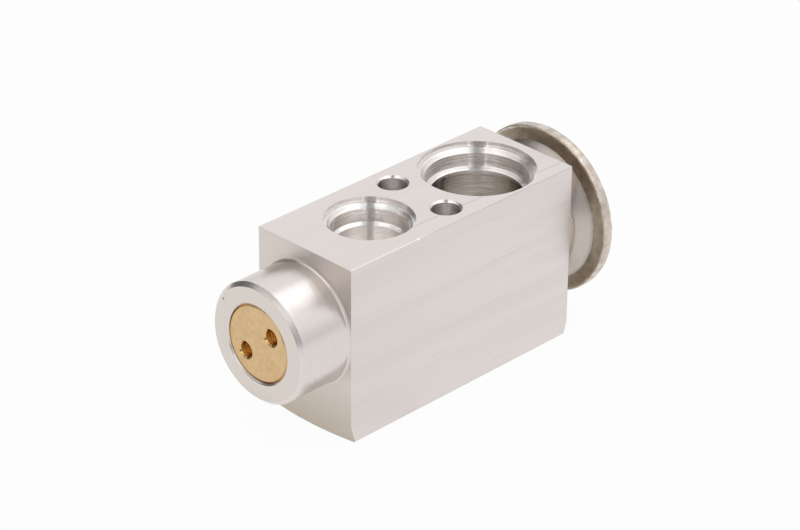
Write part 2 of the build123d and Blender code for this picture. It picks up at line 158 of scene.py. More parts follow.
# How far each finish changes a colour, as shares
DIE_LINE_SHARE = 0.12
DRAWN_LINE_SHARE = 0.6
BLOCK_SPECK_SHARE = 0.6
PORT_FACE_VARIATION = 0.015
END_VARIATION = 0.015
BORE_VARIATION = 0.02
PLUG_RING_VARIATION = 0.012
PLUG_MOTTLE_VARIATION = 0.07
PLUG_PATCH_SHARE = 0.5
PLUG_SPECK_SHARE = 0.4
HEAD_RING_VARIATION = 0.04
WELD_SHADE_SHARE = 0.8
WELD_SPECK_SHARE = 0.45

# Clean steel first and stained steel second: how far patches and grain change the head's colour
PATCH_DEPTHS = (0.04, 0.36)
GRAIN_DEPTHS = (0.1, 0.8)

# The middle range of a noise, which a tone spreads from 0 to 1
TONE_LOW = 0.3
TONE_HIGH = 0.7

# The weld's roughness between its darker and paler grain, and how far that grain stands out
WELD_ROUGHNESS = (0.26, 0.42)
WELD_GRAIN_LIFT = 0.2

# The camera's right-hand side and the way it looks, as fitted to the photograph
CAMERA_RIGHT = (0.70362, -0.71052, 0.0083)
CAMERA_AHEAD = (0.62515, 0.61345, -0.48256)
SENSOR_WIDTH = 36.0

# The floor's width in metres, and its share of plain white where the camera sees it
FLOOR_SIZE = 8.0
FLOOR_CAMERA_GLOW = 0.95

# Degrees from the camera's side to the card behind it, and to the slit on either hand
CARD_TURN = 2.0
SLIT_TURN = 18.0


# Colours and node trees


def linear(red, green, blue):
    """Turn screen values from 0 to 255 into a linear colour."""
    parts = []
    for value in (red, green, blue):
        share = value / 255.0
        parts.append(share / 12.92 if share <= 0.04045 else ((share + 0.055) / 1.055) ** 2.4)
    return tuple(parts)


def opaque(colour):
    """Give a colour its fourth channel."""
    return (*colour[:3], 1.0)


class Graph:
    """Adds nodes to one tree, sets their sockets and links them."""

    def __init__(self, tree):
        self.tree = tree

    def feed(self, socket, value):
        """Link a socket, or write a plain value into it."""
        if isinstance(value, bpy.types.NodeSocket):
            self.tree.links.new(value, socket)
        elif value is not None:
            socket.default_value = value

    def add(self, kind, inputs=None, **settings):
        """Make one node with its settings and inputs."""
        node = self.tree.nodes.new(kind)
        for name, value in settings.items():
            setattr(node, name, value)
        for key, value in (inputs or {}).items():
            self.feed(node.inputs[key], value)
        return node

    def math(self, operation, first, second=None, clamp=False):
        """One Math node's result."""
        node = self.add("ShaderNodeMath", operation=operation, use_clamp=clamp)
        self.feed(node.inputs[0], first)
        self.feed(node.inputs[1], second)
        return node.outputs[0]

    def plus(self, first, second, clamp=False):
        """The sum of two numbers."""
        return self.math("ADD", first, second, clamp=clamp)

    def minus(self, first, second):
        """The first number less the second."""
        return self.math("SUBTRACT", first, second)

    def times(self, first, second):
        """The product of two numbers."""
        return self.math("MULTIPLY", first, second)

    def over(self, first, second, clamp=False):
        """The first number divided by the second."""
        return self.math("DIVIDE", first, second, clamp=clamp)

    def unsigned(self, number):
        """A number without its sign."""
        return self.math("ABSOLUTE", number)

    def above(self, number, limit):
        """1 where a number is greater than a limit, and 0 elsewhere."""
        return self.math("GREATER_THAN", number, limit)

    def below(self, number, limit):
        """1 where a number is less than a limit, and 0 elsewhere."""
        return self.math("LESS_THAN", number, limit)

    def parts(self, vector):
        """The X, Y and Z of a vector."""
        return self.add("ShaderNodeSeparateXYZ", {0: vector}).outputs[:3]

    def joined(self, x, y, z):
        """Combine three numbers into a vector."""
        return self.add("ShaderNodeCombineXYZ", {0: x, 1: y, 2: z}).outputs[0]

    def grey(self, level):
        """A grey of that level."""
        return self.add("ShaderNodeCombineColor", {0: level, 1: level, 2: level}).outputs[0]

    def noise(self, place, detail=2.0, roughness=0.5):
        """A noise from 0 to 1, along a line for a number and in space for a vector."""
        in_space = place.type == "VECTOR"
        inputs = {
            "Vector" if in_space else "W": place,
            "Scale": 1.0,
            "Detail": detail,
            "Roughness": roughness,
        }
        node = self.add("ShaderNodeTexNoise", inputs, noise_dimensions="3D" if in_space else "1D")
        return node.outputs[0]

    def vector(self, operation, first, second=None, scale=None, result="Vector"):
        """One Vector Math node's result."""
        node = self.add("ShaderNodeVectorMath", operation=operation)
        self.feed(node.inputs[0], first)
        self.feed(node.inputs[1], second)
        if scale is not None:
            self.feed(node.inputs["Scale"], scale)
        return node.outputs[result]

    def ramp(self, value, low, high, start=0.0, end=1.0, smooth=False):
        """Map a value from one range to another, held at both ends."""
        node = self.add(
            "ShaderNodeMapRange",
            {"Value": value, "From Min": low, "From Max": high, "To Min": start, "To Max": end},
            interpolation_type="SMOOTHSTEP" if smooth else "LINEAR",
        )
        return node.outputs["Result"]

    def mix(self, share, first, second, blend="MIX"):
        """Mix two colours."""
        node = self.add("ShaderNodeMix", data_type="RGBA", blend_type=blend, clamp_factor=True)
        self.feed(node.inputs[0], share)
        self.feed(node.inputs[6], opaque(first) if isinstance(first, tuple) else first)
        self.feed(node.inputs[7], opaque(second) if isinstance(second, tuple) else second)
        return node.outputs[2]

    def aim(self, share, first, second):
        """Mix two directions."""
        node = self.add("ShaderNodeMix", data_type="VECTOR", clamp_factor=True)
        self.feed(node.inputs[0], share)
        self.feed(node.inputs[4], first)
        self.feed(node.inputs[5], second)
        return node.outputs[1]

    def blend(self, share, first, second):
        """Mix two numbers."""
        node = self.add("ShaderNodeMix", data_type="FLOAT", clamp_factor=True)
        self.feed(node.inputs[0], share)
        self.feed(node.inputs[2], first)
        self.feed(node.inputs[3], second)
        return node.outputs[0]

    def group(self, tree, inputs):
        """Place a shader node group with its own values."""
        node = self.tree.nodes.new("ShaderNodeGroup")
        node.node_tree = tree
        for name, value in inputs.items():
            self.feed(node.inputs[name], value)
        return node.outputs


def new_tree(name, tree_kind, inputs, outputs):
    """Start a node tree. Inputs and outputs are (name, kind, default) and (name, kind)."""
    tree = bpy.data.node_groups.new(name, tree_kind)
    for label, kind, default in inputs:
        socket = tree.interface.new_socket(label, in_out="INPUT", socket_type="NodeSocket" + kind)
        if default is not None:
            socket.default_value = default
    for label, kind in outputs:
        tree.interface.new_socket(label, in_out="OUTPUT", socket_type="NodeSocket" + kind)
    return tree


def new_group(name, inputs, outputs):
    """Start a shader node group. Returns its graph, its inputs and the sockets of its results."""
    tree = new_tree(name, "ShaderNodeTree", inputs, outputs)
    graph = Graph(tree)
    return graph, graph.add("NodeGroupInput").outputs, graph.add("NodeGroupOutput").inputs


def shared_group(name, builder):
    """Return a group, built the first time that it is asked for."""
    return bpy.data.node_groups.get(name) or builder(name)


# Shader node groups, shared by the materials


def build_place(name):
    """Where a point lies: its millimetres, and its distance from the valve's axis."""
    graph, given, result = new_group(
        name,
        [("Object", "Vector", None), ("Axis height", "Float", AXIS_HEIGHT)],
        [("Position", "Vector"), ("X", "Float"), ("Y", "Float"), ("Z", "Float"), ("Radius", "Float")],
    )
    place = graph.vector("SCALE", given["Object"], scale=1.0 / MM)
    x, y, z = graph.parts(place)
    across = graph.joined(0.0, y, graph.minus(z, given["Axis height"]))
    radius = graph.vector("LENGTH", across, result="Value")
    for label, value in zip(("Position", "X", "Y", "Z", "Radius"), (place, x, y, z, radius)):
        graph.feed(result[label], value)
    return graph.tree


def build_nearest_bore(name):
    """The nearest upright bore: which way its wall runs, how far its middle is, and 1 in a bolt hole."""
    graph, given, result = new_group(
        name,
        [("Position", "Vector", None)],
        [("Direction", "Vector"), ("Radius", "Float"), ("Bolt", "Float")],
    )
    x, y, z = graph.parts(given["Position"])
    low_side = graph.blend(graph.above(z, AXIS_HEIGHT), OUTLET_X, INLET_X)
    centre_x = graph.blend(graph.above(x, PORT_SPLIT_X), low_side, SUCTION_X)
    bolt_across = graph.minus(y, graph.times(graph.math("SIGN", y), BOLT_Y))
    bolt_reach = graph.math("SQRT", graph.plus(graph.times(x, x), graph.times(bolt_across, bolt_across)))
    at_bolt = graph.below(bolt_reach, BOLT_RIM_R)
    across_x = graph.blend(at_bolt, graph.minus(x, centre_x), x)
    across_y = graph.blend(at_bolt, y, bolt_across)
    away = graph.joined(across_x, across_y, 0.0)
    graph.feed(result["Direction"], graph.vector("CROSS_PRODUCT", (0.0, 0.0, 1.0), away))
    graph.feed(result["Radius"], graph.vector("LENGTH", away, result="Value"))
    graph.feed(result["Bolt"], at_bolt)
    return graph.tree


def build_grooves(name):
    """Fine tool grooves. Each tips the surface its own way, across the direction that it runs in."""
    graph, given, result = new_group(
        name,
        [
            ("Direction", "Vector", (1.0, 0.0, 0.0)),
            ("Travel", "Float", 0.0),
            ("Pitch", "Float", 0.05),
            ("Spread", "Float", 0.1),
        ],
        [("Normal", "Vector")],
    )
    plain = graph.add("ShaderNodeNewGeometry").outputs["Normal"]
    run = graph.add(
        "ShaderNodeVectorTransform",
        {0: given["Direction"]},
        vector_type="VECTOR",
        convert_from="OBJECT",
        convert_to="WORLD",
    ).outputs[0]
    across = graph.vector("NORMALIZE", graph.vector("CROSS_PRODUCT", plain, run))
    count = graph.math("FLOOR", graph.over(given["Travel"], given["Pitch"]))
    pick = graph.add("ShaderNodeTexWhiteNoise", {"W": count}, noise_dimensions="1D").outputs["Value"]
    tip = graph.times(graph.minus(pick, 0.5), 2.0)
    tip = graph.times(tip, graph.unsigned(tip))
    tip = graph.times(tip, given["Spread"])
    tipped = graph.vector("ADD", plain, graph.vector("SCALE", across, scale=tip))
    graph.feed(result["Normal"], graph.vector("NORMALIZE", tipped))
    return graph.tree


def build_turned_rings(name):
    """Fine rings that a lathe leaves, round whatever axis the radius was taken from."""
    graph, given, result = new_group(
        name,
        [("Radius", "Float", 0.0), ("Along", "Float", 0.0), ("Pitch", "Float", 0.1)],
        [("Height", "Float"), ("Tone", "Float")],
    )
    broad_share = 0.17
    travel = graph.over(graph.plus(given["Radius"], given["Along"]), given["Pitch"])
    graph.feed(result["Height"], graph.noise(travel, roughness=0.6))
    broad = graph.noise(graph.times(travel, broad_share), detail=3.0)
    graph.feed(result["Tone"], graph.ramp(broad, TONE_LOW, TONE_HIGH))
    return graph.tree


def build_drawn_streaks(name):
    """Long fine streaks along X, as an extruded bar keeps from its die."""
    graph, given, result = new_group(
        name,
        [("Position", "Vector", None), ("Length", "Float", 60.0), ("Width", "Float", 0.3)],
        [("Height", "Float"), ("Tone", "Float"), ("Lines", "Float")],
    )
    broad_stretch = (0.5, 0.06, 0.06)
    line_stretch = (2.0, 0.45, 0.45)
    line_start, line_full = 0.66, 0.74
    across = graph.over(1.0, given["Width"])
    stretch = graph.joined(graph.over(1.0, given["Length"]), across, across)
    spread = graph.vector("MULTIPLY", given["Position"], stretch)
    graph.feed(result["Height"], graph.noise(spread, detail=5.0, roughness=0.65))
    broad = graph.noise(graph.vector("MULTIPLY", spread, broad_stretch), detail=3.0)
    graph.feed(result["Tone"], graph.ramp(broad, TONE_LOW, TONE_HIGH))
    lines = graph.noise(graph.vector("MULTIPLY", spread, line_stretch))
    graph.feed(result["Lines"], graph.ramp(lines, line_start, line_full))
    return graph.tree


def build_specks(name):
    """Small scattered marks, such as nicks and dust left in a surface."""
    graph, given, result = new_group(
        name,
        [("Position", "Vector", None), ("Spacing", "Float", 4.0), ("Size", "Float", 0.1)],
        [("Mask", "Float")],
    )
    bare_share = 0.55
    soft_edge = 0.02
    spread = graph.vector("SCALE", given["Position"], scale=graph.over(1.0, given["Spacing"]))
    cells = graph.add("ShaderNodeTexVoronoi", {"Vector": spread, "Scale": 1.0}, feature="F1").outputs
    pick = graph.add("ShaderNodeSeparateColor", {0: cells["Color"]}).outputs[0]
    reach = graph.times(given["Size"], graph.ramp(pick, bare_share, 1.0))
    graph.feed(result["Mask"], graph.ramp(graph.minus(reach, cells["Distance"]), 0.0, soft_edge))
    return graph.tree


def build_grain(name):
    """Even fine grain, as on rubber, plastic, tumbled or rolled parts."""
    graph, given, result = new_group(
        name,
        [("Position", "Vector", None), ("Size", "Float", 0.2)],
        [("Height", "Float"), ("Tone", "Float")],
    )
    broad_share = 0.1
    spread = graph.vector("SCALE", given["Position"], scale=graph.over(1.0, given["Size"]))
    graph.feed(result["Height"], graph.noise(spread, detail=4.0))
    broad = graph.noise(graph.vector("SCALE", spread, scale=broad_share))
    graph.feed(result["Tone"], graph.ramp(broad, TONE_LOW, TONE_HIGH))
    return graph.tree


# Placing those groups in a material


def new_material(name, metallic=1.0):
    """Start a material. Returns it, its graph, its surface shader and where each point lies."""
    material = bpy.data.materials.new(name)
    material.use_nodes = True
    graph = Graph(material.node_tree)
    shader = material.node_tree.nodes["Principled BSDF"]
    shader.inputs["Metallic"].default_value = metallic
    object_place = graph.add("ShaderNodeTexCoord").outputs["Object"]
    place = graph.group(shared_group("Valve place", build_place), {"Object": object_place})
    return material, graph, shader, place


def nearest_bore(graph, place):
    """The upright bore that a point belongs to."""
    inputs = {"Position": place["Position"]}
    return graph.group(shared_group("Valve nearest bore", build_nearest_bore), inputs)


def turned_rings(graph, radius, along, pitch):
    """Height and tone of a lathe's rings."""
    inputs = {"Radius": radius, "Along": along, "Pitch": pitch}
    return graph.group(shared_group("Valve turned rings", build_turned_rings), inputs)


def drawn_streaks(graph, place, length, width):
    """Height, tone and lines of a drawn bar."""
    inputs = {"Position": place["Position"], "Length": length, "Width": width}
    return graph.group(shared_group("Valve drawn streaks", build_drawn_streaks), inputs)


def specks(graph, place, spacing, size):
    """Mask of scattered small marks. Their size is a share of the spacing."""
    inputs = {"Position": place["Position"], "Spacing": spacing, "Size": size}
    return graph.group(shared_group("Valve specks", build_specks), inputs)["Mask"]


def grain(graph, place, size):
    """Height and tone of an even grain."""
    inputs = {"Position": place["Position"], "Size": size}
    return graph.group(shared_group("Valve grain", build_grain), inputs)


def shaded(graph, colour, tone, depth):
    """Vary a colour's lightness by a tone from 0 to 1, evenly about its own value."""
    level = graph.ramp(tone, 0.0, 1.0, 1.0 - depth, 1.0 + depth)
    return graph.mix(1.0, colour, graph.grey(level), blend="MULTIPLY")


def bump(graph, shader, height, strength, distance, normal=None):
    """Raise the surface by a height from 0 to 1, over a distance in millimetres."""
    inputs = {"Strength": strength, "Distance": distance * MM, "Height": height, "Normal": normal}
    graph.feed(shader.inputs["Normal"], graph.add("ShaderNodeBump", inputs).outputs[0])


def round_axis(graph, place):
    """The direction that a turned surface runs in, round the valve's axis."""
    rise = graph.minus(place["Z"], AXIS_HEIGHT)
    return graph.joined(0.0, graph.times(rise, -1.0), place["Y"])


def grooved(graph, direction, travel, pitch, spread):
    """The normal of a surface covered in fine tool grooves."""
    inputs = {"Direction": direction, "Travel": travel, "Pitch": pitch, "Spread": spread}
    return graph.group(shared_group("Valve grooves", build_grooves), inputs)["Normal"]


def dress(node_name, material):
    """Give a CAD node its material."""
    mesh = NODES[node_name].data
    mesh.materials.clear()
    mesh.materials.append(material)


# The block's finish


def off_middle(graph, place):
    """How far a point lies above or below the block's middle height."""
    return graph.unsigned(graph.minus(place["Z"], BLOCK_HEIGHT / 2))


def past_cone(graph, place, start_r):
    """How far an end face leans back at a point, where it is turned to a cone."""
    beyond = graph.math("MAXIMUM", graph.minus(place["Radius"], start_r), 0.0)
    return graph.times(beyond, END_CONE_SLOPE)


def block_regions(graph, place):
    """Masks of the turned ends, the drawn sides and the port faces. What is left are the bores."""
    front_limit = graph.plus(past_cone(graph, place, FRONT_CONE_START_R), FRONT_X + CUT_MARGIN)
    back_limit = graph.minus(BACK_X - CUT_MARGIN, past_cone(graph, place, BACK_CONE_START_R))
    front = graph.below(place["X"], front_limit)
    back = graph.above(place["X"], back_limit)
    turned = graph.math("MAXIMUM", front, back)
    bar = graph.minus(1.0, turned)
    side = graph.times(graph.above(graph.unsigned(place["Y"]), BLOCK_WIDTH / 2 - BAR_CORNER_R), bar)
    at_face = graph.above(off_middle(graph, place), BLOCK_HEIGHT / 2 - FACE_MARGIN)
    return turned, side, graph.times(at_face, graph.minus(bar, side))


def bar_edges(graph, place, turned):
    """Mask of the bar's four long rounded edges."""
    edge = graph.minus(1.0, turned)
    for away, half in (
        (graph.unsigned(place["Y"]), BLOCK_WIDTH / 2),
        (off_middle(graph, place), BLOCK_HEIGHT / 2),
    ):
        near = graph.ramp(away, half - BAR_CORNER_R - FACE_MARGIN, half - BAR_CORNER_R / 2)
        edge = graph.times(edge, near)
    return edge


def edge_shade_and_wear_share(graph, place, start=0.0):
    """From start to 1 along the bar, where its edges turn rougher and take painted shade towards the power
    head.
    """
    return graph.ramp(place["X"], EDGE_SHADE_AND_WEAR_X - EDGE_FADE, EDGE_SHADE_AND_WEAR_X + EDGE_FADE, start, 1.0)


def spot(graph, place, centre, radius):
    """Mask of a small round spot with a soft edge."""
    away = graph.vector("LENGTH", graph.vector("SUBTRACT", place["Position"], centre), result="Value")
    return graph.ramp(away, radius, radius * SPOT_CORE_SHARE)


def drawn_line(graph, place):
    """Mask of one long shallow line that the die left in the upper port face."""
    middle = graph.plus(graph.times(place["X"], LINE_SLOPE), LINE_Y)
    line = graph.ramp(graph.unsigned(graph.minus(place["Y"], middle)), LINE_HALF_WIDTH, 0.0)
    line = graph.times(line, graph.above(place["Z"], AXIS_HEIGHT))
    return graph.times(line, edge_shade_and_wear_share(graph, place, LINE_FAINT_SHARE))


def side_colour(graph, streaks, look):
    """Drawn aluminium with a few darker lines from the die."""
    colour = shaded(graph, opaque(look.metal_colour), streaks["Tone"], look.side_variation)
    return graph.mix(graph.times(streaks["Lines"], DIE_LINE_SHARE), colour, opaque(look.mark_colour))


def end_colour(graph, place, on_boss, look):
    """Turned aluminium, brighter round the bosses, with painted shade that darkens it towards the bottom
    face.
    """
    # Painted shade: the end faces turn darker towards the bottom face
    low = graph.ramp(place["Z"], look.end_shade_height, 0.0)
    metal = graph.mix(low, opaque(look.end_colour), opaque(look.end_shade_colour))
    boss_side = graph.times(on_boss, graph.above(place["X"], SPIGOT_X + CUT_MARGIN))
    metal = graph.mix(boss_side, metal, opaque(look.metal_colour))
    rings = turned_rings(graph, place["Radius"], place["X"], END_RING_PITCH)
    return shaded(graph, metal, rings["Tone"], END_VARIATION)


def bore_colour(graph, place, bore, look):
    """Bright cut aluminium, with painted shade deep in the suction passage and in the drilled bolt holes.
    """
    height = off_middle(graph, place)
    deep_shade_height = BLOCK_HEIGHT / 2 - look.deep_shade_start
    # Painted shade deep in the suction passage
    deep = graph.ramp(height, deep_shade_height, deep_shade_height - DEEP_SHADE_FADE)
    deep = graph.times(deep, graph.above(place["X"], PORT_SPLIT_X))
    metal = graph.mix(deep, opaque(look.bore_colour), opaque(look.deep_shade_colour))
    # Painted shade in the bolt holes below their rims
    drilled = graph.times(bore["Bolt"], graph.below(height, BLOCK_HEIGHT / 2 - BOLT_RIM_DEPTH))
    metal = graph.mix(drilled, metal, opaque(look.bolt_hole_shade_colour))
    rings = turned_rings(graph, bore["Radius"], place["Z"], BORE_RING_PITCH)
    return shaded(graph, metal, rings["Tone"], BORE_VARIATION)


def marked(graph, place, colour, outside, port_face, look):
    """Add the block's specks, its drawn line, its dark speck and its nick, painted white as a glint, to a
    colour.
    """
    dust = specks(graph, place, spacing=9.0, size=0.03)
    dust = graph.times(dust, graph.times(outside, BLOCK_SPECK_SHARE))
    line = graph.times(drawn_line(graph, place), graph.times(port_face, DRAWN_LINE_SHARE))
    for share, mark in (
        (dust, opaque(look.mark_colour)),
        (line, opaque(look.mark_colour)),
        (spot(graph, place, SPECK_PLACE, SPECK_R), opaque(look.speck_colour)),
        # The nick is a real mark; its white is a painted glint
        (spot(graph, place, NICK_GLINT_PLACE, NICK_GLINT_R), WHITE),
    ):
        colour = graph.mix(share, colour, mark)
    return colour


def block_material(look):
    """Drawn and machined aluminium: streaked sides, turned ends and bright bores."""
    material, graph, shader, place = new_material("block_aluminium_finish")
    turned, side, port_face = block_regions(graph, place)
    outer = graph.plus(side, port_face, clamp=True)
    on_boss = graph.below(place["Radius"], BLOCK_WIDTH / 2)
    edge = bar_edges(graph, place, turned)
    edge_shade_and_wear = edge_shade_and_wear_share(graph, place)
    bore = nearest_bore(graph, place)
    side_streaks = drawn_streaks(graph, place, *SIDE_STREAKS)
    port_streaks = drawn_streaks(graph, place, *PORT_FACE_STREAKS)

    port_colour = shaded(graph, opaque(look.metal_colour), port_streaks["Tone"], PORT_FACE_VARIATION)
    colour = bore_colour(graph, place, bore, look)
    for mask, finish in (
        (turned, end_colour(graph, place, on_boss, look)),
        (port_face, port_colour),
        (side, side_colour(graph, side_streaks, look)),
        # Painted shade: the long edges turn darker towards the power head
        (edge, graph.mix(edge_shade_and_wear, opaque(look.edge_colour), opaque(look.edge_shade_colour))),
    ):
        colour = graph.mix(mask, colour, finish)
    outside = graph.plus(turned, outer, clamp=True)
    graph.feed(shader.inputs["Base Color"], marked(graph, place, colour, outside, port_face, look))

    roughness = look.bore_roughness
    for mask, finish in (
        (turned, graph.blend(on_boss, look.end_roughness, look.boss_roughness)),
        (port_face, look.port_face_roughness),
        (side, look.side_roughness),
        (edge, graph.blend(edge_shade_and_wear, look.edge_roughness, look.worn_edge_roughness)),
    ):
        roughness = graph.blend(mask, roughness, finish)
    graph.feed(shader.inputs["Roughness"], roughness)

    direction = graph.aim(turned, bore["Direction"], round_axis(graph, place))
    direction = graph.aim(outer, direction, (1.0, 0.0, 0.0))
    end_travel = graph.plus(place["Radius"], place["X"])
    travel = graph.blend(turned, graph.plus(bore["Radius"], place["Z"]), end_travel)
    travel = graph.blend(outer, travel, graph.plus(place["Y"], place["Z"]))
    spread = graph.blend(turned, look.bore_spread, look.end_spread)
    spread = graph.blend(outer, spread, look.side_spread)
    normal = grooved(graph, direction, travel, look.groove_pitch, spread)
    port_height = graph.times(port_streaks["Height"], look.port_face_relief)
    height = graph.blend(port_face, 0.0, port_height)
    height = graph.blend(side, height, side_streaks["Height"])
    bump(graph, shader, height, look.relief, look.relief_depth, normal)
    return material


# The plug's finish, and the plain turned and grained finishes


def spanner_hole(graph, place):
    """Which way the nearest spanner hole's wall runs round, and the distance from its middle."""
    hole = graph.math("SIGN", place["Y"])
    across = graph.minus(place["Y"], graph.times(hole, SPANNER_Y))
    rise = graph.minus(graph.minus(place["Z"], AXIS_HEIGHT), graph.times(hole, SPANNER_RISE))
    away = graph.joined(0.0, across, rise)
    round_hole = graph.vector("CROSS_PRODUCT", (1.0, 0.0, 0.0), away)
    return round_hole, graph.vector("LENGTH", away, result="Value")


def brass_material(look):
    """Turned brass. The spanner holes below the plug's face have their own grooves and tone."""
    material, graph, shader, place = new_material("plug_brass_finish")
    rings = turned_rings(graph, place["Radius"], place["X"], PLUG_RING_PITCH)
    patches = graph.times(grain(graph, place, PLUG_PATCH_SIZE)["Tone"], PLUG_PATCH_SHARE)
    stains = graph.times(specks(graph, place, spacing=2.2, size=0.05), PLUG_SPECK_SHARE)
    tint = shaded(graph, opaque(look.brass_colour), rings["Tone"], PLUG_RING_VARIATION)
    tint = graph.mix(patches, tint, opaque(look.pale_colour))
    tint = shaded(graph, tint, grain(graph, place, PLUG_MOTTLE_SIZE)["Tone"], PLUG_MOTTLE_VARIATION)
    tint = graph.mix(stains, tint, opaque(look.speck_colour))
    round_hole, reach = spanner_hole(graph, place)
    behind_face = graph.above(place["X"], PLUG_FACE_X + CUT_MARGIN)
    in_hole = graph.times(graph.below(reach, SPANNER_MOUTH_R), behind_face)
    graph.feed(shader.inputs["Base Color"], graph.mix(in_hole, tint, opaque(look.hole_colour)))
    graph.feed(shader.inputs["Roughness"], graph.blend(in_hole, look.roughness, look.hole_roughness))
    direction = graph.aim(in_hole, round_axis(graph, place), round_hole)
    travel = graph.plus(graph.blend(in_hole, place["Radius"], reach), place["X"])
    spread = graph.blend(in_hole, look.face_spread, look.hole_spread)
    graph.feed(shader.inputs["Normal"], grooved(graph, direction, travel, look.groove_pitch, spread))
    return material


def turned_material(name, colour, roughness, pitch=0.15, variation=0.04):
    """Plain turned metal with fine rings about the valve's axis."""
    material, graph, shader, place = new_material(name)
    rings = turned_rings(graph, place["Radius"], place["X"], pitch)
    graph.feed(shader.inputs["Base Color"], shaded(graph, opaque(colour), rings["Tone"], variation))
    graph.feed(shader.inputs["Roughness"], roughness)
    bump(graph, shader, rings["Height"], strength=0.3, distance=0.003)
    return material


def grained_material(name, colour, roughness, size, metallic=0.0, depth=0.01, variation=0.1):
    """Rubber, plastic or rolled metal with an even fine grain."""
    material, graph, shader, place = new_material(name, metallic)
    even = grain(graph, place, size)
    graph.feed(shader.inputs["Base Color"], shaded(graph, opaque(colour), even["Tone"], variation))
    graph.feed(shader.inputs["Roughness"], roughness)
    bump(graph, shader, even["Height"], strength=0.4, distance=depth)
    return material


def plain_steel(name, colour, roughness, size, depth=0.003, variation=0.03):
    """Steel with an even fine grain."""
    return grained_material(name, colour, roughness, size, 1.0, depth, variation)


# The power head's finishes


def head_colour(graph, place, look):
    """Steel, with the brown heat tint that the weld leaves in the flange and a painted shadow on the base
    beside the block.
    """
    ramp = graph.add("ShaderNodeValToRGB", {0: graph.ramp(place["Radius"], HEAD_INNER_R, HEAD_OUTER_R)})
    stops = ramp.color_ramp.elements
    # Painted shadow on the head's base beside the block
    stops[0].color = opaque(look.base_shadow_colour)
    stops[1].color = opaque(look.flange_colour)
    for radius, colour in (
        (BASE_SHADOW_END_R, look.base_shadow_colour),
        (SHELL_START_R, look.shell_colour),
        (SHELL_END_R, look.shell_colour),
        (TINT_R, look.tint_colour),
        (BURNT_R, look.burnt_colour),
    ):
        stop = stops.new((radius - HEAD_INNER_R) / (HEAD_OUTER_R - HEAD_INNER_R))
        stop.color = opaque(colour)
    patches = grain(graph, place, HEAD_PATCH_SIZE)
    stain = graph.ramp(place["Radius"], STAIN_START_R, STAIN_FULL_R)
    level = 1.0
    for pattern, depths in (("Tone", PATCH_DEPTHS), ("Height", GRAIN_DEPTHS)):
        change = graph.times(graph.minus(patches[pattern], 0.5), graph.blend(stain, *depths))
        level = graph.plus(level, change)
    return graph.mix(1.0, ramp.outputs[0], graph.grey(level), blend="MULTIPLY")


def head_material(look):
    """Pressed stainless steel of the head's shells."""
    material, graph, shader, place = new_material("head_steel_finish")
    rings = turned_rings(graph, place["Radius"], place["X"], HEAD_RING_PITCH)
    colour = shaded(graph, head_colour(graph, place, look), rings["Tone"], HEAD_RING_VARIATION)
    graph.feed(shader.inputs["Base Color"], colour)
    graph.feed(shader.inputs["Roughness"], look.shell_roughness)
    bump(graph, shader, rings["Height"], strength=0.3, distance=0.006)
    return material


def weld_material(look):
    """The weld's bead: tan, a little dull, and uneven."""
    material, graph, shader, place = new_material("weld_finish")
    lumps = grain(graph, place, WELD_LUMP_SIZE)
    fine = grain(graph, place, WELD_GRAIN_SIZE)
    burns = specks(graph, place, spacing=1.1, size=0.3)
    inner = graph.ramp(place["Radius"], WELD_INNER_R, WELD_OUTER_R)
    colour = graph.mix(inner, opaque(look.tint_colour), opaque(look.weld_colour))
    colour = graph.mix(graph.times(fine["Tone"], WELD_SHADE_SHARE), colour, opaque(look.weld_shade))
    colour = graph.mix(graph.times(burns, WELD_SPECK_SHARE), colour, opaque(look.weld_speck_colour))
    graph.feed(shader.inputs["Base Color"], colour)
    graph.feed(shader.inputs["Roughness"], graph.ramp(fine["Tone"], 0.0, 1.0, *WELD_ROUGHNESS))
    height = graph.plus(lumps["Height"], graph.times(fine["Tone"], WELD_GRAIN_LIFT))
    bump(graph, shader, height, strength=0.8, distance=0.17)
    return material


# Pieces made by geometry trees


def finished_mesh(name, tree, values, material):
    """Run a geometry tree, keep its result as a plain mesh, and return the object."""
    mesh = bpy.data.meshes.new(name)
    piece = bpy.data.objects.new(name, mesh)
    bpy.context.scene.collection.objects.link(piece)
    modifier = piece.modifiers.new(name, "NODES")
    modifier.node_group = tree
    for item in tree.interface.items_tree:
        if item.item_type == "SOCKET" and item.in_out == "INPUT" and item.name in values:
            modifier[item.identifier] = values[item.name]
    bpy.context.view_layer.update()
    evaluated = piece.evaluated_get(bpy.context.evaluated_depsgraph_get())
    result = bpy.data.meshes.new_from_object(evaluated)
    piece.modifiers.remove(modifier)
    piece.data = result
    bpy.data.meshes.remove(mesh)
    result.name = name
    if not result.polygons:
        raise RuntimeError(f"{name} came out without faces")
    if material.name not in [kept.name for kept in result.materials if kept]:
        result.materials.clear()
        result.materials.append(material)
    result.polygons.foreach_set("use_smooth", [True] * len(result.polygons))
    return piece


class ShapeTree(Graph):
    """A geometry tree with named inputs, which ends in Realize Instances and Set Material."""

    def __init__(self, name, inputs):
        super().__init__(new_tree(name, "GeometryNodeTree", inputs, [("Geometry", "Geometry")]))
        self.given = self.add("NodeGroupInput").outputs
        self.result = self.add("NodeGroupOutput").inputs

    def circle(self, steps, radius):
        """A ring of straight steps."""
        inputs = {"Resolution": steps, "Radius": radius}
        return self.add("GeometryNodeCurvePrimitiveCircle", inputs, mode="RADIUS").outputs["Curve"]

    def swept(self, path, profile, caps):
        """A profile carried along a path, as a surface."""
        inputs = {"Curve": path, "Profile Curve": profile, "Fill Caps": caps}
        return self.add("GeometryNodeCurveToMesh", inputs).outputs[0]

    def placed(self, shape, x, y, z):
        """A shape with its points moved to new places."""
        inputs = {"Geometry": shape, "Position": self.joined(x, y, z)}
        return self.add("GeometryNodeSetPosition", inputs).outputs[0]

    def close(self, shape, material):
        """End the tree."""
        solid = self.add("GeometryNodeRealizeInstances", {0: shape}).outputs[0]
        coated = self.add("GeometryNodeSetMaterial", {"Geometry": solid, "Material": material})
        self.feed(self.result[0], coated.outputs[0])
        return self.tree


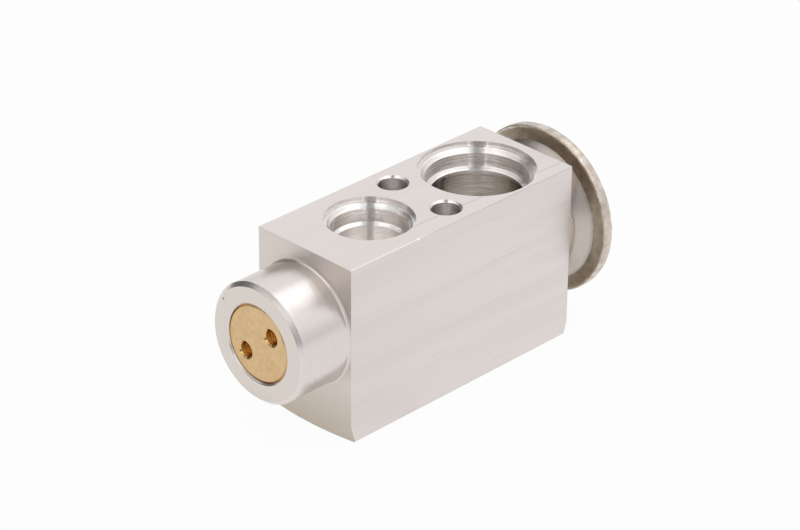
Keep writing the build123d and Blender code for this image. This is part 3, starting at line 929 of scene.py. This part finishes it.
def bead_tree(material):
    """A weld bead round the X axis, whose width, height and line wander a little."""
    tree = ShapeTree(
        "Valve weld bead",
        [
            ("Ring radius", "Float", 0.019),
            ("Half width", "Float", 0.001),
            ("Half height", "Float", 0.0007),
            ("Centre", "Vector", (0.0, 0.0, 0.0)),
            ("Wander", "Float", 0.00012),
            ("Ripple size", "Float", 0.002),
            ("Seed", "Float", 4.0),
        ],
    )
    given = tree.given
    turn = tree.circle(BEAD_STEPS, given["Ring radius"])
    profile = tree.circle(BEAD_PROFILE_STEPS, 1.0)
    x, y = tree.parts(tree.add("GeometryNodeInputPosition").outputs[0])[:2]
    powers = [tree.math("POWER", tree.unsigned(value), BEAD_SQUARENESS) for value in (x, y)]
    push = tree.math("POWER", tree.plus(*powers), -1.0 / BEAD_SQUARENESS)
    across = tree.times(tree.times(x, push), given["Half height"])
    along = tree.times(tree.times(y, push), given["Half width"])
    body = tree.swept(turn, tree.placed(profile, across, along, 0.0), False)
    place = tree.add("GeometryNodeInputPosition").outputs[0]
    coarseness = tree.over(1.0, given["Ripple size"])
    inputs = {"Vector": place, "W": given["Seed"], "Scale": coarseness, "Detail": 2.0}
    ripple = tree.add("ShaderNodeTexNoise", inputs, noise_dimensions="4D").outputs["Color"]
    offset = tree.vector("SUBTRACT", ripple, (0.5, 0.5, 0.5))
    offset = tree.vector("SCALE", offset, scale=given["Wander"])
    body = tree.add("GeometryNodeSetPosition", {"Geometry": body, "Offset": offset}).outputs[0]
    quarter_turn = (0.0, math.pi / 2, 0.0)
    inputs = {"Geometry": body, "Translation": given["Centre"], "Rotation": quarter_turn}
    body = tree.add("GeometryNodeTransform", inputs).outputs[0]
    return tree.close(body, material)


def spring_tree(material):
    """A compression spring along X: open turns in the middle, closed and ground turns at both ends."""
    tree = ShapeTree(
        "Valve spring",
        [
            ("Turns", "Float", 6.5),
            ("Closed turns", "Float", 1.0),
            ("Mean radius", "Float", 0.0043),
            ("Wire radius", "Float", 0.00055),
            ("Start", "Float", 0.0),
            ("End", "Float", 0.02),
            ("Axis height", "Float", 0.02),
        ],
    )
    given = tree.given
    inputs = {"Start": (0.0, 0.0, 0.0), "End": (1.0, 0.0, 0.0)}
    line = tree.add("GeometryNodeCurvePrimitiveLine", inputs).outputs[0]
    line = tree.add("GeometryNodeResampleCurve", {"Curve": line, "Count": SPRING_STEPS}).outputs[0]
    turn = tree.times(tree.add("GeometryNodeSplineParameter").outputs["Factor"], given["Turns"])
    angle = tree.times(turn, math.tau)
    closed = given["Closed turns"]
    open_turns = tree.minus(given["Turns"], tree.times(closed, 2.0))
    climb = tree.over(tree.minus(turn, closed), open_turns, clamp=True)
    flat_step = tree.times(given["Wire radius"], 2.0)
    low_rise = tree.times(tree.math("MINIMUM", turn, closed), flat_step)
    late = tree.minus(turn, tree.minus(given["Turns"], closed))
    high_rise = tree.times(tree.math("MAXIMUM", late, 0.0), flat_step)
    ends = tree.times(tree.times(closed, flat_step), 2.0)
    open_length = tree.minus(tree.minus(given["End"], given["Start"]), ends)
    along = tree.plus(given["Start"], tree.plus(low_rise, high_rise))
    along = tree.plus(along, tree.times(climb, open_length))
    y = tree.times(tree.math("COSINE", angle), given["Mean radius"])
    z = tree.times(tree.math("SINE", angle), given["Mean radius"])
    line = tree.placed(line, along, y, tree.plus(z, given["Axis height"]))
    body = tree.swept(line, tree.circle(WIRE_STEPS, given["Wire radius"]), True)
    x, y, z = tree.parts(tree.add("GeometryNodeInputPosition").outputs[0])
    ground = tree.math("MINIMUM", tree.math("MAXIMUM", x, given["Start"]), given["End"])
    body = tree.placed(body, ground, y, z)
    return tree.close(body, material)


def lay_bead(look, weld):
    """Lay the weld's bead in the room of the solid that it replaces."""
    low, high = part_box("rim_weld")
    half_width = (high[0] - low[0]) / 2
    half_height = BEAD_HALF_HEIGHT * MM
    values = {
        "Ring radius": high[1] - half_height - look.weld_wander / 2,
        "Half width": half_width - look.weld_wander / 2,
        "Half height": half_height,
        "Centre": ((low[0] + high[0]) / 2, 0.0, AXIS_HEIGHT * MM),
        "Wander": look.weld_wander,
        "Ripple size": BEAD_RIPPLE * MM,
        "Seed": look.weld_seed,
    }
    return finished_mesh("weld_bead", bead_tree(weld), values, weld)


def wind_spring(look, steel):
    """Wind the spring between the ends of the solid that it replaces."""
    values = {
        "Turns": look.turns,
        "Mean radius": look.mean_radius,
        "Wire radius": look.wire_radius,
        "Start": SPRING_LOW_X * MM,
        "End": SPRING_HIGH_X * MM,
        "Axis height": AXIS_HEIGHT * MM,
    }
    return finished_mesh("wound_spring", spring_tree(steel), values, steel)


# Settings that a user can change


def colour_setting(name, description, screen_colour):
    """A colour that a user can change. Its default is given in screen values."""
    return bpy.props.FloatVectorProperty(
        name=name, description=description, subtype="COLOR", size=3, min=0.0, max=1.0,
        default=linear(*screen_colour),
    )


def share_setting(name, description, default, highest=1.0):
    """A share that a user can change."""
    return bpy.props.FloatProperty(
        name=name, description=description, subtype="FACTOR", min=0.0, max=highest, default=default
    )


def number_setting(name, description, default, lowest, highest):
    """A plain number that a user can change."""
    return bpy.props.FloatProperty(
        name=name, description=description, min=lowest, max=highest, default=default
    )


def length_setting(name, description, default, lowest, highest):
    """A length in metres that a user can change."""
    return bpy.props.FloatProperty(
        name=name, description=description, unit="LENGTH", precision=5, min=lowest, max=highest,
        default=default,
    )


class BlockLook(bpy.types.PropertyGroup):
    """The aluminium block's finish."""

    metal_colour: colour_setting("Metal colour", "Aluminium of the outer faces", (226, 219, 216))
    end_colour: colour_setting("End colour", "Aluminium of the turned end faces", (221, 213, 206))
    # Painted shade on the end faces beside the bottom face, and the height where it starts
    end_shade_colour: colour_setting(
        "Low end colour", "The end faces beside the bottom face", (194, 184, 170)
    )
    end_shade_height: number_setting(
        "End fade height", "Where the end faces start to darken, in millimetres", 15.0, 0.1, 60.0
    )
    bore_colour: colour_setting("Bore colour", "Freshly cut aluminium inside the bores", (240, 236, 233))
    # Painted shade deep in the suction passage
    deep_shade_colour: colour_setting(
        "Deep colour", "Rougher drilled aluminium deep in the bores", (207, 200, 193)
    )
    # Painted shade in the bolt holes
    bolt_hole_shade_colour: colour_setting(
        "Bolt hole colour", "Drilled aluminium in the bolt holes", (232, 228, 226)
    )
    # How deep the painted shade in the suction passage starts
    deep_shade_start: number_setting(
        "Deep start", "How deep the drilled walls start, in millimetres", 5.8, 0.0, 21.0
    )
    mark_colour: colour_setting("Mark colour", "Specks and drawn lines", (150, 140, 128))
    speck_colour: colour_setting("Speck colour", "The dark speck on the spigot's face", (96, 84, 74))
    edge_colour: colour_setting("Edge colour", "The bar's long rounded edges", (226, 219, 216))
    # Painted shade on the long edges towards the power head
    edge_shade_colour: colour_setting(
        "Worn edge colour", "The long edges towards the power head", (214, 207, 203)
    )
    worn_edge_roughness: share_setting(
        "Worn edge roughness", "Roughness of the long edges towards the power head", 0.6
    )
    edge_roughness: share_setting("Edge roughness", "Roughness of the bar's long rounded edges", 0.35)
    side_variation: share_setting(
        "Side variation", "Share by which the drawn streaks change the tone", 0.03, highest=0.5
    )
    side_roughness: share_setting("Side roughness", "Roughness of the drawn sides", 0.34)
    port_face_roughness: share_setting(
        "Port face roughness", "Roughness of the faces that carry the ports", 0.3
    )
    end_roughness: share_setting("End roughness", "Roughness of the turned end faces", 0.42)
    boss_roughness: share_setting("Boss roughness", "Roughness of the turned bosses", 0.26)
    bore_roughness: share_setting("Bore roughness", "Roughness inside the bores", 0.12)
    bore_spread: number_setting(
        "Bore spread", "How far the grooves in the bores tip the surface", 0.6, 0.0, 2.0
    )
    end_spread: number_setting(
        "End spread", "How far the grooves of the turned ends tip the surface", 0.14, 0.0, 2.0
    )
    side_spread: number_setting(
        "Side spread", "How far the drawn lines of the bar tip the surface", 0.1, 0.0, 2.0
    )
    groove_pitch: number_setting(
        "Groove pitch", "From one groove to the next, in millimetres", 0.012, 0.002, 1.0
    )
    relief: share_setting("Relief", "Strength of streaks and rings", 0.4)
    port_face_relief: share_setting(
        "Port face relief", "Depth of the port faces' streaks, as a share of the sides'", 0.4
    )
    relief_depth: number_setting(
        "Relief depth", "Depth of streaks and rings, in millimetres", 0.006, 0.0, 0.1
    )


class PlugLook(bpy.types.PropertyGroup):
    """The adjusting plug's finish."""

    brass_colour: colour_setting("Brass colour", "Turned brass", (212, 179, 132))
    pale_colour: colour_setting("Pale colour", "Paler patches of the plug's face", (224, 193, 152))
    hole_colour: colour_setting("Hole colour", "Brass inside the spanner holes", (222, 184, 122))
    speck_colour: colour_setting("Speck colour", "Tiny stains on the plug's face", (150, 122, 84))
    roughness: share_setting("Roughness", "Roughness of the plug's face", 0.28)
    hole_roughness: share_setting("Hole roughness", "Roughness inside the spanner holes", 0.12)
    face_spread: number_setting(
        "Face spread", "How far the grooves of the plug's face tip the surface", 0.2, 0.0, 2.0
    )
    hole_spread: number_setting(
        "Hole spread", "How far the grooves in the spanner holes tip the surface", 0.9, 0.0, 2.0
    )
    groove_pitch: number_setting(
        "Groove pitch", "From one groove to the next, in millimetres", 0.015, 0.002, 1.0
    )


class HeadLook(bpy.types.PropertyGroup):
    """The power head's finish and its weld."""

    shell_colour: colour_setting("Shell colour", "Bright steel of the shells", (197, 187, 181))
    # Painted shadow on the head's base beside the block
    base_shadow_colour: colour_setting(
        "Base colour", "Steel of the head's base, beside the block", (182, 170, 159)
    )
    burnt_colour: colour_setting("Burnt colour", "The browner edge of the heat tint", (163, 149, 131))
    tint_colour: colour_setting("Tint colour", "Heat tint beside the weld", (172, 162, 150))
    flange_colour: colour_setting("Flange colour", "Steel at the rim", (168, 152, 136))
    weld_colour: colour_setting("Weld colour", "The weld's bead", (226, 216, 206))
    weld_shade: colour_setting("Weld shade", "Darker patches of the bead", (186, 172, 158))
    weld_speck_colour: colour_setting("Weld speck colour", "Small burnt spots on the bead", (120, 100, 80))
    shell_roughness: share_setting("Shell roughness", "Roughness of the pressed shells", 0.34)
    weld_wander: length_setting("Weld wander", "How far the bead's surface wanders", 0.0002, 0.0, 0.001)
    weld_seed: number_setting("Weld seed", "Picks another uneven bead", 4.0, 0.0, 100.0)


class SpringLook(bpy.types.PropertyGroup):
    """The bias spring's shape and finish."""

    turns: number_setting("Turns", "Number of turns, end turns included", 8.0, 3.0, 20.0)
    mean_radius: length_setting("Mean radius", "Radius of the coil's middle line", 0.0043, 0.001, 0.01)
    wire_radius: length_setting("Wire radius", "Half the wire's thickness", 0.00055, 0.0001, 0.002)
    colour: colour_setting("Colour", "Spring steel", (170, 168, 165))


class TrainLook(bpy.types.PropertyGroup):
    """Finish of the pieces that slide together."""

    rod_colour: colour_setting("Rod colour", "Aluminium of the rod and its stopper", (206, 204, 202))
    pin_colour: colour_setting("Pin colour", "Ground steel of the pin", (196, 196, 198))
    ball_colour: colour_setting("Ball colour", "Polished steel of the ball", (208, 208, 210))
    carrier_colour: colour_setting("Carrier colour", "Brass of the ball's carrier", (205, 172, 110))
    clip_colour: colour_setting("Clip colour", "Spring steel of the damping clip", (182, 180, 176))


class SealLook(bpy.types.PropertyGroup):
    """Finish of the rubber rings and of what holds the pin's seal."""

    rubber_colour: colour_setting("Rubber colour", "Rubber of the rings", (38, 40, 40))
    washer_colour: colour_setting("Washer colour", "Plastic of the backing washer", (224, 218, 202))
    retainer_colour: colour_setting(
        "Retainer colour", "Spring steel of the toothed retainer", (178, 176, 172)
    )


class StageLook(bpy.types.PropertyGroup):
    """The floor, the lamps, the cards and the camera."""

    floor_colour: bpy.props.FloatVectorProperty(
        name="Floor colour", description="The pale floor", subtype="COLOR",
        size=3, min=0.0, max=1.0, default=(0.94, 0.94, 0.94),
    )
    fill_strength: number_setting(
        "Fill strength", "Strength of the even light from all round", 0.55, 0.0, 2.0
    )
    wall_tone: number_setting(
        "Wall tone", "How light the studio's walls are in a reflection", 0.76, 0.0, 2.0
    )
    wall_rise: bpy.props.FloatVectorProperty(
        name="Wall rise", description="Heights between which the walls turn white, as sines", size=2,
        default=(0.12, 0.42), min=-1.0, max=1.0,
    )
    ceiling_tone: number_setting(
        "Ceiling tone", "How light the studio's ceiling is in a reflection", 0.45, 0.0, 2.0
    )
    ceiling_rise: bpy.props.FloatVectorProperty(
        name="Ceiling rise", description="Heights between which the white walls meet the ceiling, as sines",
        size=2, default=(0.75, 0.95), min=-1.0, max=1.0,
    )
    floor_glow: share_setting("Floor glow", "Share of plain white in the floor's reflection", 0.85)
    softbox_radiance: number_setting(
        "Softbox brightness", "Brightness of each softbox's face", 0.9, 0.0, 20.0
    )
    softbox_distance: length_setting("Softbox distance", "From the object to each softbox", 1.1, 0.2, 5.0)
    camera_side: number_setting(
        "Camera side", "Direction of the card behind the camera, in degrees from +X", -137.0, -360.0, 360.0
    )
    card_distance: length_setting("Card distance", "From the object to the cards", 1.0, 0.2, 6.0)
    card_tone: share_setting("Card tone", "How light the card behind the camera looks", 0.3)
    slit_tone: number_setting("Slit tone", "Brightness of the slits beside that card", 2.4, 0.0, 20.0)
    back_tone: share_setting("Back tone", "How light the card at the far left looks", 0.14)
    rear_tone: share_setting("Rear tone", "How light the card behind the plug looks", 0.5)
    camera_place: bpy.props.FloatVectorProperty(
        name="Camera place", description="Where the camera stands", subtype="TRANSLATION", unit="LENGTH",
        size=3, default=(-0.44713, -0.43317, 0.36797),
    )
    reflections: bpy.props.IntProperty(
        name="Reflections", description="How often light is followed from metal to metal inside the bores",
        default=10, min=1, max=12,
    )
    camera_lens: number_setting(
        "Camera lens", "Focal length on a 36 mm sensor, in millimetres", 146.06, 10.0, 400.0
    )


# One operator for each group of pieces


class ValveOperator(bpy.types.Operator):
    """Shared settings of the valve's operators."""

    bl_options = {"REGISTER"}

    @classmethod
    def poll(cls, context):
        return context.scene is not None


class VALVE_OT_block(ValveOperator):
    """Give the aluminium block its drawn, turned and bored finish"""

    bl_idname = "valve.block"
    bl_label = "Block"

    def execute(self, context):
        dress("valve_body", block_material(context.scene.valve_block))
        return {"FINISHED"}


class VALVE_OT_plug(ValveOperator):
    """Give the adjusting plug its brass finish"""

    bl_idname = "valve.plug"
    bl_label = "Adjusting plug"

    def execute(self, context):
        dress("adjusting_plug", brass_material(context.scene.valve_plug))
        return {"FINISHED"}


class VALVE_OT_head(ValveOperator):
    """Finish the power head's shells and lay its weld bead"""

    bl_idname = "valve.head"
    bl_label = "Power head"

    def execute(self, context):
        look = context.scene.valve_head
        shell = head_material(look)
        for node in ("lower_housing", "upper_housing", "fill_plug"):
            dress(node, shell)
        disc = plain_steel("diaphragm_finish", look.shell_colour, roughness=0.3, size=0.5, depth=0.004)
        dress("diaphragm", disc)
        weld = weld_material(look)
        dress("rim_weld", weld)
        bead = lay_bead(look, weld)
        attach(bead, "valve_block")
        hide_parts("rim_weld")
        return {"FINISHED"}


class VALVE_OT_spring(ValveOperator):
    """Wind the bias spring in place of its solid"""

    bl_idname = "valve.spring"
    bl_label = "Bias spring"

    def execute(self, context):
        look = context.scene.valve_spring
        steel = plain_steel("spring_steel_finish", look.colour, roughness=0.3, size=0.3, variation=0.04)
        spring = wind_spring(look, steel)
        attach(spring, "valve_block")
        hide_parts("bias_spring")
        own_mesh(spring)
        return {"FINISHED"}


class VALVE_OT_train(ValveOperator):
    """Finish the stopper, rod, pin, ball, carrier and clip"""

    bl_idname = "valve.train"
    bl_label = "Valve train"

    def execute(self, context):
        look = context.scene.valve_train
        rod = turned_material("rod_aluminium_finish", look.rod_colour, roughness=0.28)
        pin = turned_material(
            "pin_steel_finish", look.pin_colour, roughness=0.16, pitch=0.08, variation=0.02
        )
        ball = plain_steel(
            "ball_steel_finish", look.ball_colour, roughness=0.08, size=0.6, depth=0.001, variation=0.01
        )
        clip = plain_steel("clip_steel_finish", look.clip_colour, roughness=0.28, size=0.3)
        dress("sensing_rod", rod)
        dress("diaphragm_stopper", rod)
        dress("operating_pin", pin)
        dress("valve_ball", ball)
        dress("ball_carrier", turned_material("carrier_brass_finish", look.carrier_colour, roughness=0.27))
        dress("vibration_damper", clip)
        return {"FINISHED"}


class VALVE_OT_seals(ValveOperator):
    """Finish the rubber rings, the washer and the toothed retainer"""

    bl_idname = "valve.seals"
    bl_label = "Seals"

    def execute(self, context):
        look = context.scene.valve_seals
        rubber = grained_material("seal_rubber_finish", look.rubber_colour, roughness=0.5, size=0.15)
        washer = grained_material("washer_plastic_finish", look.washer_colour, roughness=0.45, size=0.2)
        retainer = plain_steel("retainer_steel_finish", look.retainer_colour, roughness=0.3, size=0.3)
        for node in ("plug_seal_ring", "pin_seal_ring", "head_seal_ring"):
            dress(node, rubber)
        dress("seal_washer", washer)
        dress("seal_retainer", retainer)
        return {"FINISHED"}


# The stage


def seen_directly(graph):
    """1 for rays from the camera, in a reflection or through glass, and 0 for plain light."""
    path = graph.add("ShaderNodeLightPath").outputs
    seen = graph.math("MAXIMUM", path["Is Camera Ray"], path["Is Glossy Ray"])
    return graph.math("MAXIMUM", seen, path["Is Transmission Ray"]), path["Is Camera Ray"]


def make_world(look):
    """White where it is seen, darker low down and overhead where it is reflected, and an even fill."""
    world = bpy.data.worlds.new("studio")
    bpy.context.scene.world = world
    world.use_nodes = True
    graph = Graph(world.node_tree)
    background = world.node_tree.nodes["Background"]
    seen, camera = seen_directly(graph)
    height = graph.parts(graph.add("ShaderNodeTexCoord").outputs["Generated"])[2]
    wall = graph.ramp(height, *look.wall_rise, look.wall_tone, 1.0, smooth=True)
    ceiling = graph.ramp(height, *look.ceiling_rise, 1.0, look.ceiling_tone, smooth=True)
    mirrored = graph.blend(camera, graph.times(wall, ceiling), 1.0)
    graph.feed(background.inputs["Strength"], graph.blend(seen, look.fill_strength, mirrored))
    background.inputs["Color"].default_value = WHITE


def glow_material(name):
    """Start a material without its usual shader. Returns it, its graph and its surface socket."""
    material = bpy.data.materials.new(name)
    material.use_nodes = True
    nodes = material.node_tree.nodes
    nodes.remove(nodes["Principled BSDF"])
    return material, Graph(material.node_tree), nodes["Material Output"].inputs["Surface"]


def make_floor(look):
    """A wide pale floor that shows white and keeps a faint shadow."""
    bpy.ops.mesh.primitive_plane_add(size=FLOOR_SIZE, location=(0.0, 0.0, 0.0))
    floor = bpy.context.object
    floor.name = "floor"
    material, graph, surface = glow_material("pale_floor")
    seen, camera = seen_directly(graph)
    matt = graph.add("ShaderNodeBsdfDiffuse", {"Color": opaque(look.floor_colour)}).outputs[0]
    white = graph.add("ShaderNodeEmission", {"Color": WHITE, "Strength": 1.0}).outputs[0]
    share = graph.times(seen, graph.blend(camera, look.floor_glow, FLOOR_CAMERA_GLOW))
    graph.feed(surface, graph.add("ShaderNodeMixShader", {0: share, 1: matt, 2: white}).outputs[0])
    floor.data.materials.append(material)


def make_softbox(name, look, azimuth, elevation, width, height):
    """A soft lamp that faces the object. Azimuth is measured from +X towards +Y."""
    lamp = bpy.data.lights.new(name, "AREA")
    lamp.shape = "RECTANGLE"
    lamp.size = width
    lamp.size_y = height
    lamp.energy = look.softbox_radiance * math.pi * width * height
    box = bpy.data.objects.new(name, lamp)
    bpy.context.scene.collection.objects.link(box)
    turn, rise = math.radians(azimuth), math.radians(elevation)
    way = Vector((math.cos(rise) * math.cos(turn), math.cos(rise) * math.sin(turn), math.sin(rise)))
    box.location = Vector((0.0, 0.0, AXIS_HEIGHT * MM)) + way * look.softbox_distance
    box.rotation_euler = (-way).to_track_quat("-Z", "Y").to_euler()


def make_card(name, look, tone, azimuth, width, low, high):
    """An upright card that only the object's reflections show. Azimuth as for a lamp."""
    turn = math.radians(azimuth)
    way = Vector((math.cos(turn), math.sin(turn), 0.0))
    side = Vector((-way.y, way.x, 0.0)) * width / 2
    foot = way * look.card_distance + Vector((0.0, 0.0, low))
    rise = Vector((0.0, 0.0, high - low))
    corners = [foot - side, foot + side, foot + side + rise, foot - side + rise]
    mesh = bpy.data.meshes.new(name)
    mesh.from_pydata([tuple(corner) for corner in corners], [], [(0, 1, 2, 3)])
    material, graph, surface = glow_material(name)
    graph.feed(surface, graph.add("ShaderNodeEmission", {"Color": WHITE, "Strength": tone}).outputs[0])
    mesh.materials.append(material)
    card = bpy.data.objects.new(name, mesh)
    bpy.context.scene.collection.objects.link(card)
    card.visible_camera = card.visible_diffuse = card.visible_shadow = False


def make_camera(look):
    """The camera at the photograph's place and angle."""
    lens = bpy.data.cameras.new("camera")
    lens.lens = look.camera_lens
    lens.sensor_width = SENSOR_WIDTH
    lens.clip_start = 0.01
    lens.clip_end = 20.0
    camera = bpy.data.objects.new("camera", lens)
    bpy.context.scene.collection.objects.link(camera)
    right = Vector(CAMERA_RIGHT)
    ahead = Vector(CAMERA_AHEAD).normalized()
    right = (right - ahead * right.dot(ahead)).normalized()
    up = right.cross(ahead)
    turn = Matrix((right, up, -ahead)).transposed().to_4x4()
    camera.matrix_world = Matrix.Translation(look.camera_place) @ turn
    bpy.context.scene.camera = camera


class VALVE_OT_stage(ValveOperator):
    """Lay the floor, hang the lamps, set up the cards and place the camera"""

    bl_idname = "valve.stage"
    bl_label = "Stage"

    def execute(self, context):
        look = context.scene.valve_stage
        make_world(look)
        make_floor(look)
        make_softbox("softbox_left", look, azimuth=158.0, elevation=66.0, width=0.84, height=0.54)
        make_softbox("softbox_right", look, azimuth=-38.0, elevation=66.0, width=1.34, height=0.56)
        middle = look.camera_side - CARD_TURN
        make_card("camera_card", look, look.card_tone, azimuth=middle, width=0.43, low=0.0, high=2.2)
        for name, turn in (("left_slit", -SLIT_TURN), ("right_slit", SLIT_TURN)):
            azimuth = look.camera_side + turn
            make_card(name, look, look.slit_tone, azimuth, width=0.04, low=0.05, high=1.7)
        make_card("back_card", look, look.back_tone, azimuth=99.0, width=1.0, low=0.0, high=0.9)
        make_card("rear_card", look, look.rear_tone, azimuth=154.0, width=0.9, low=0.0, high=1.12)
        make_camera(look)
        context.scene.view_settings.view_transform = "Standard"
        context.scene.cycles.glossy_bounces = look.reflections
        return {"FINISHED"}


# The panel, and registration


class VALVE_PT_panel(bpy.types.Panel):
    """Lists the valve's settings and its operators."""

    bl_label = "Expansion Valve"
    bl_idname = "VALVE_PT_panel"
    bl_space_type = "VIEW_3D"
    bl_region_type = "UI"
    bl_category = "Expansion Valve"

    def draw(self, context):
        for name, operator in SECTIONS:
            box = self.layout.box()
            box.operator(operator.bl_idname)
            look = getattr(context.scene, name)
            for key in look.__annotations__:
                box.prop(look, key)


LOOKS = (
    ("valve_block", BlockLook),
    ("valve_plug", PlugLook),
    ("valve_head", HeadLook),
    ("valve_spring", SpringLook),
    ("valve_train", TrainLook),
    ("valve_seals", SealLook),
    ("valve_stage", StageLook),
)
OPERATORS = (
    VALVE_OT_block,
    VALVE_OT_plug,
    VALVE_OT_head,
    VALVE_OT_spring,
    VALVE_OT_train,
    VALVE_OT_seals,
    VALVE_OT_stage,
)
SECTIONS = tuple((name, operator) for (name, _), operator in zip(LOOKS, OPERATORS))


def register():
    """Register the classes and hang the settings on the scene."""
    for name, look in LOOKS:
        bpy.utils.register_class(look)
        setattr(bpy.types.Scene, name, bpy.props.PointerProperty(type=look))
    for operator in OPERATORS:
        bpy.utils.register_class(operator)
    bpy.utils.register_class(VALVE_PT_panel)


def unregister():
    """Take the classes and the settings away again."""
    bpy.utils.unregister_class(VALVE_PT_panel)
    for operator in reversed(OPERATORS):
        bpy.utils.unregister_class(operator)
    for name, look in reversed(LOOKS):
        delattr(bpy.types.Scene, name)
        bpy.utils.unregister_class(look)


def main():
    """Dress every piece and set the stage."""
    register()
    bpy.ops.valve.block()
    bpy.ops.valve.plug()
    bpy.ops.valve.head()
    bpy.ops.valve.spring()
    bpy.ops.valve.train()
    bpy.ops.valve.seals()
    bpy.ops.valve.stage()


if __name__ == "__main__":
    main()
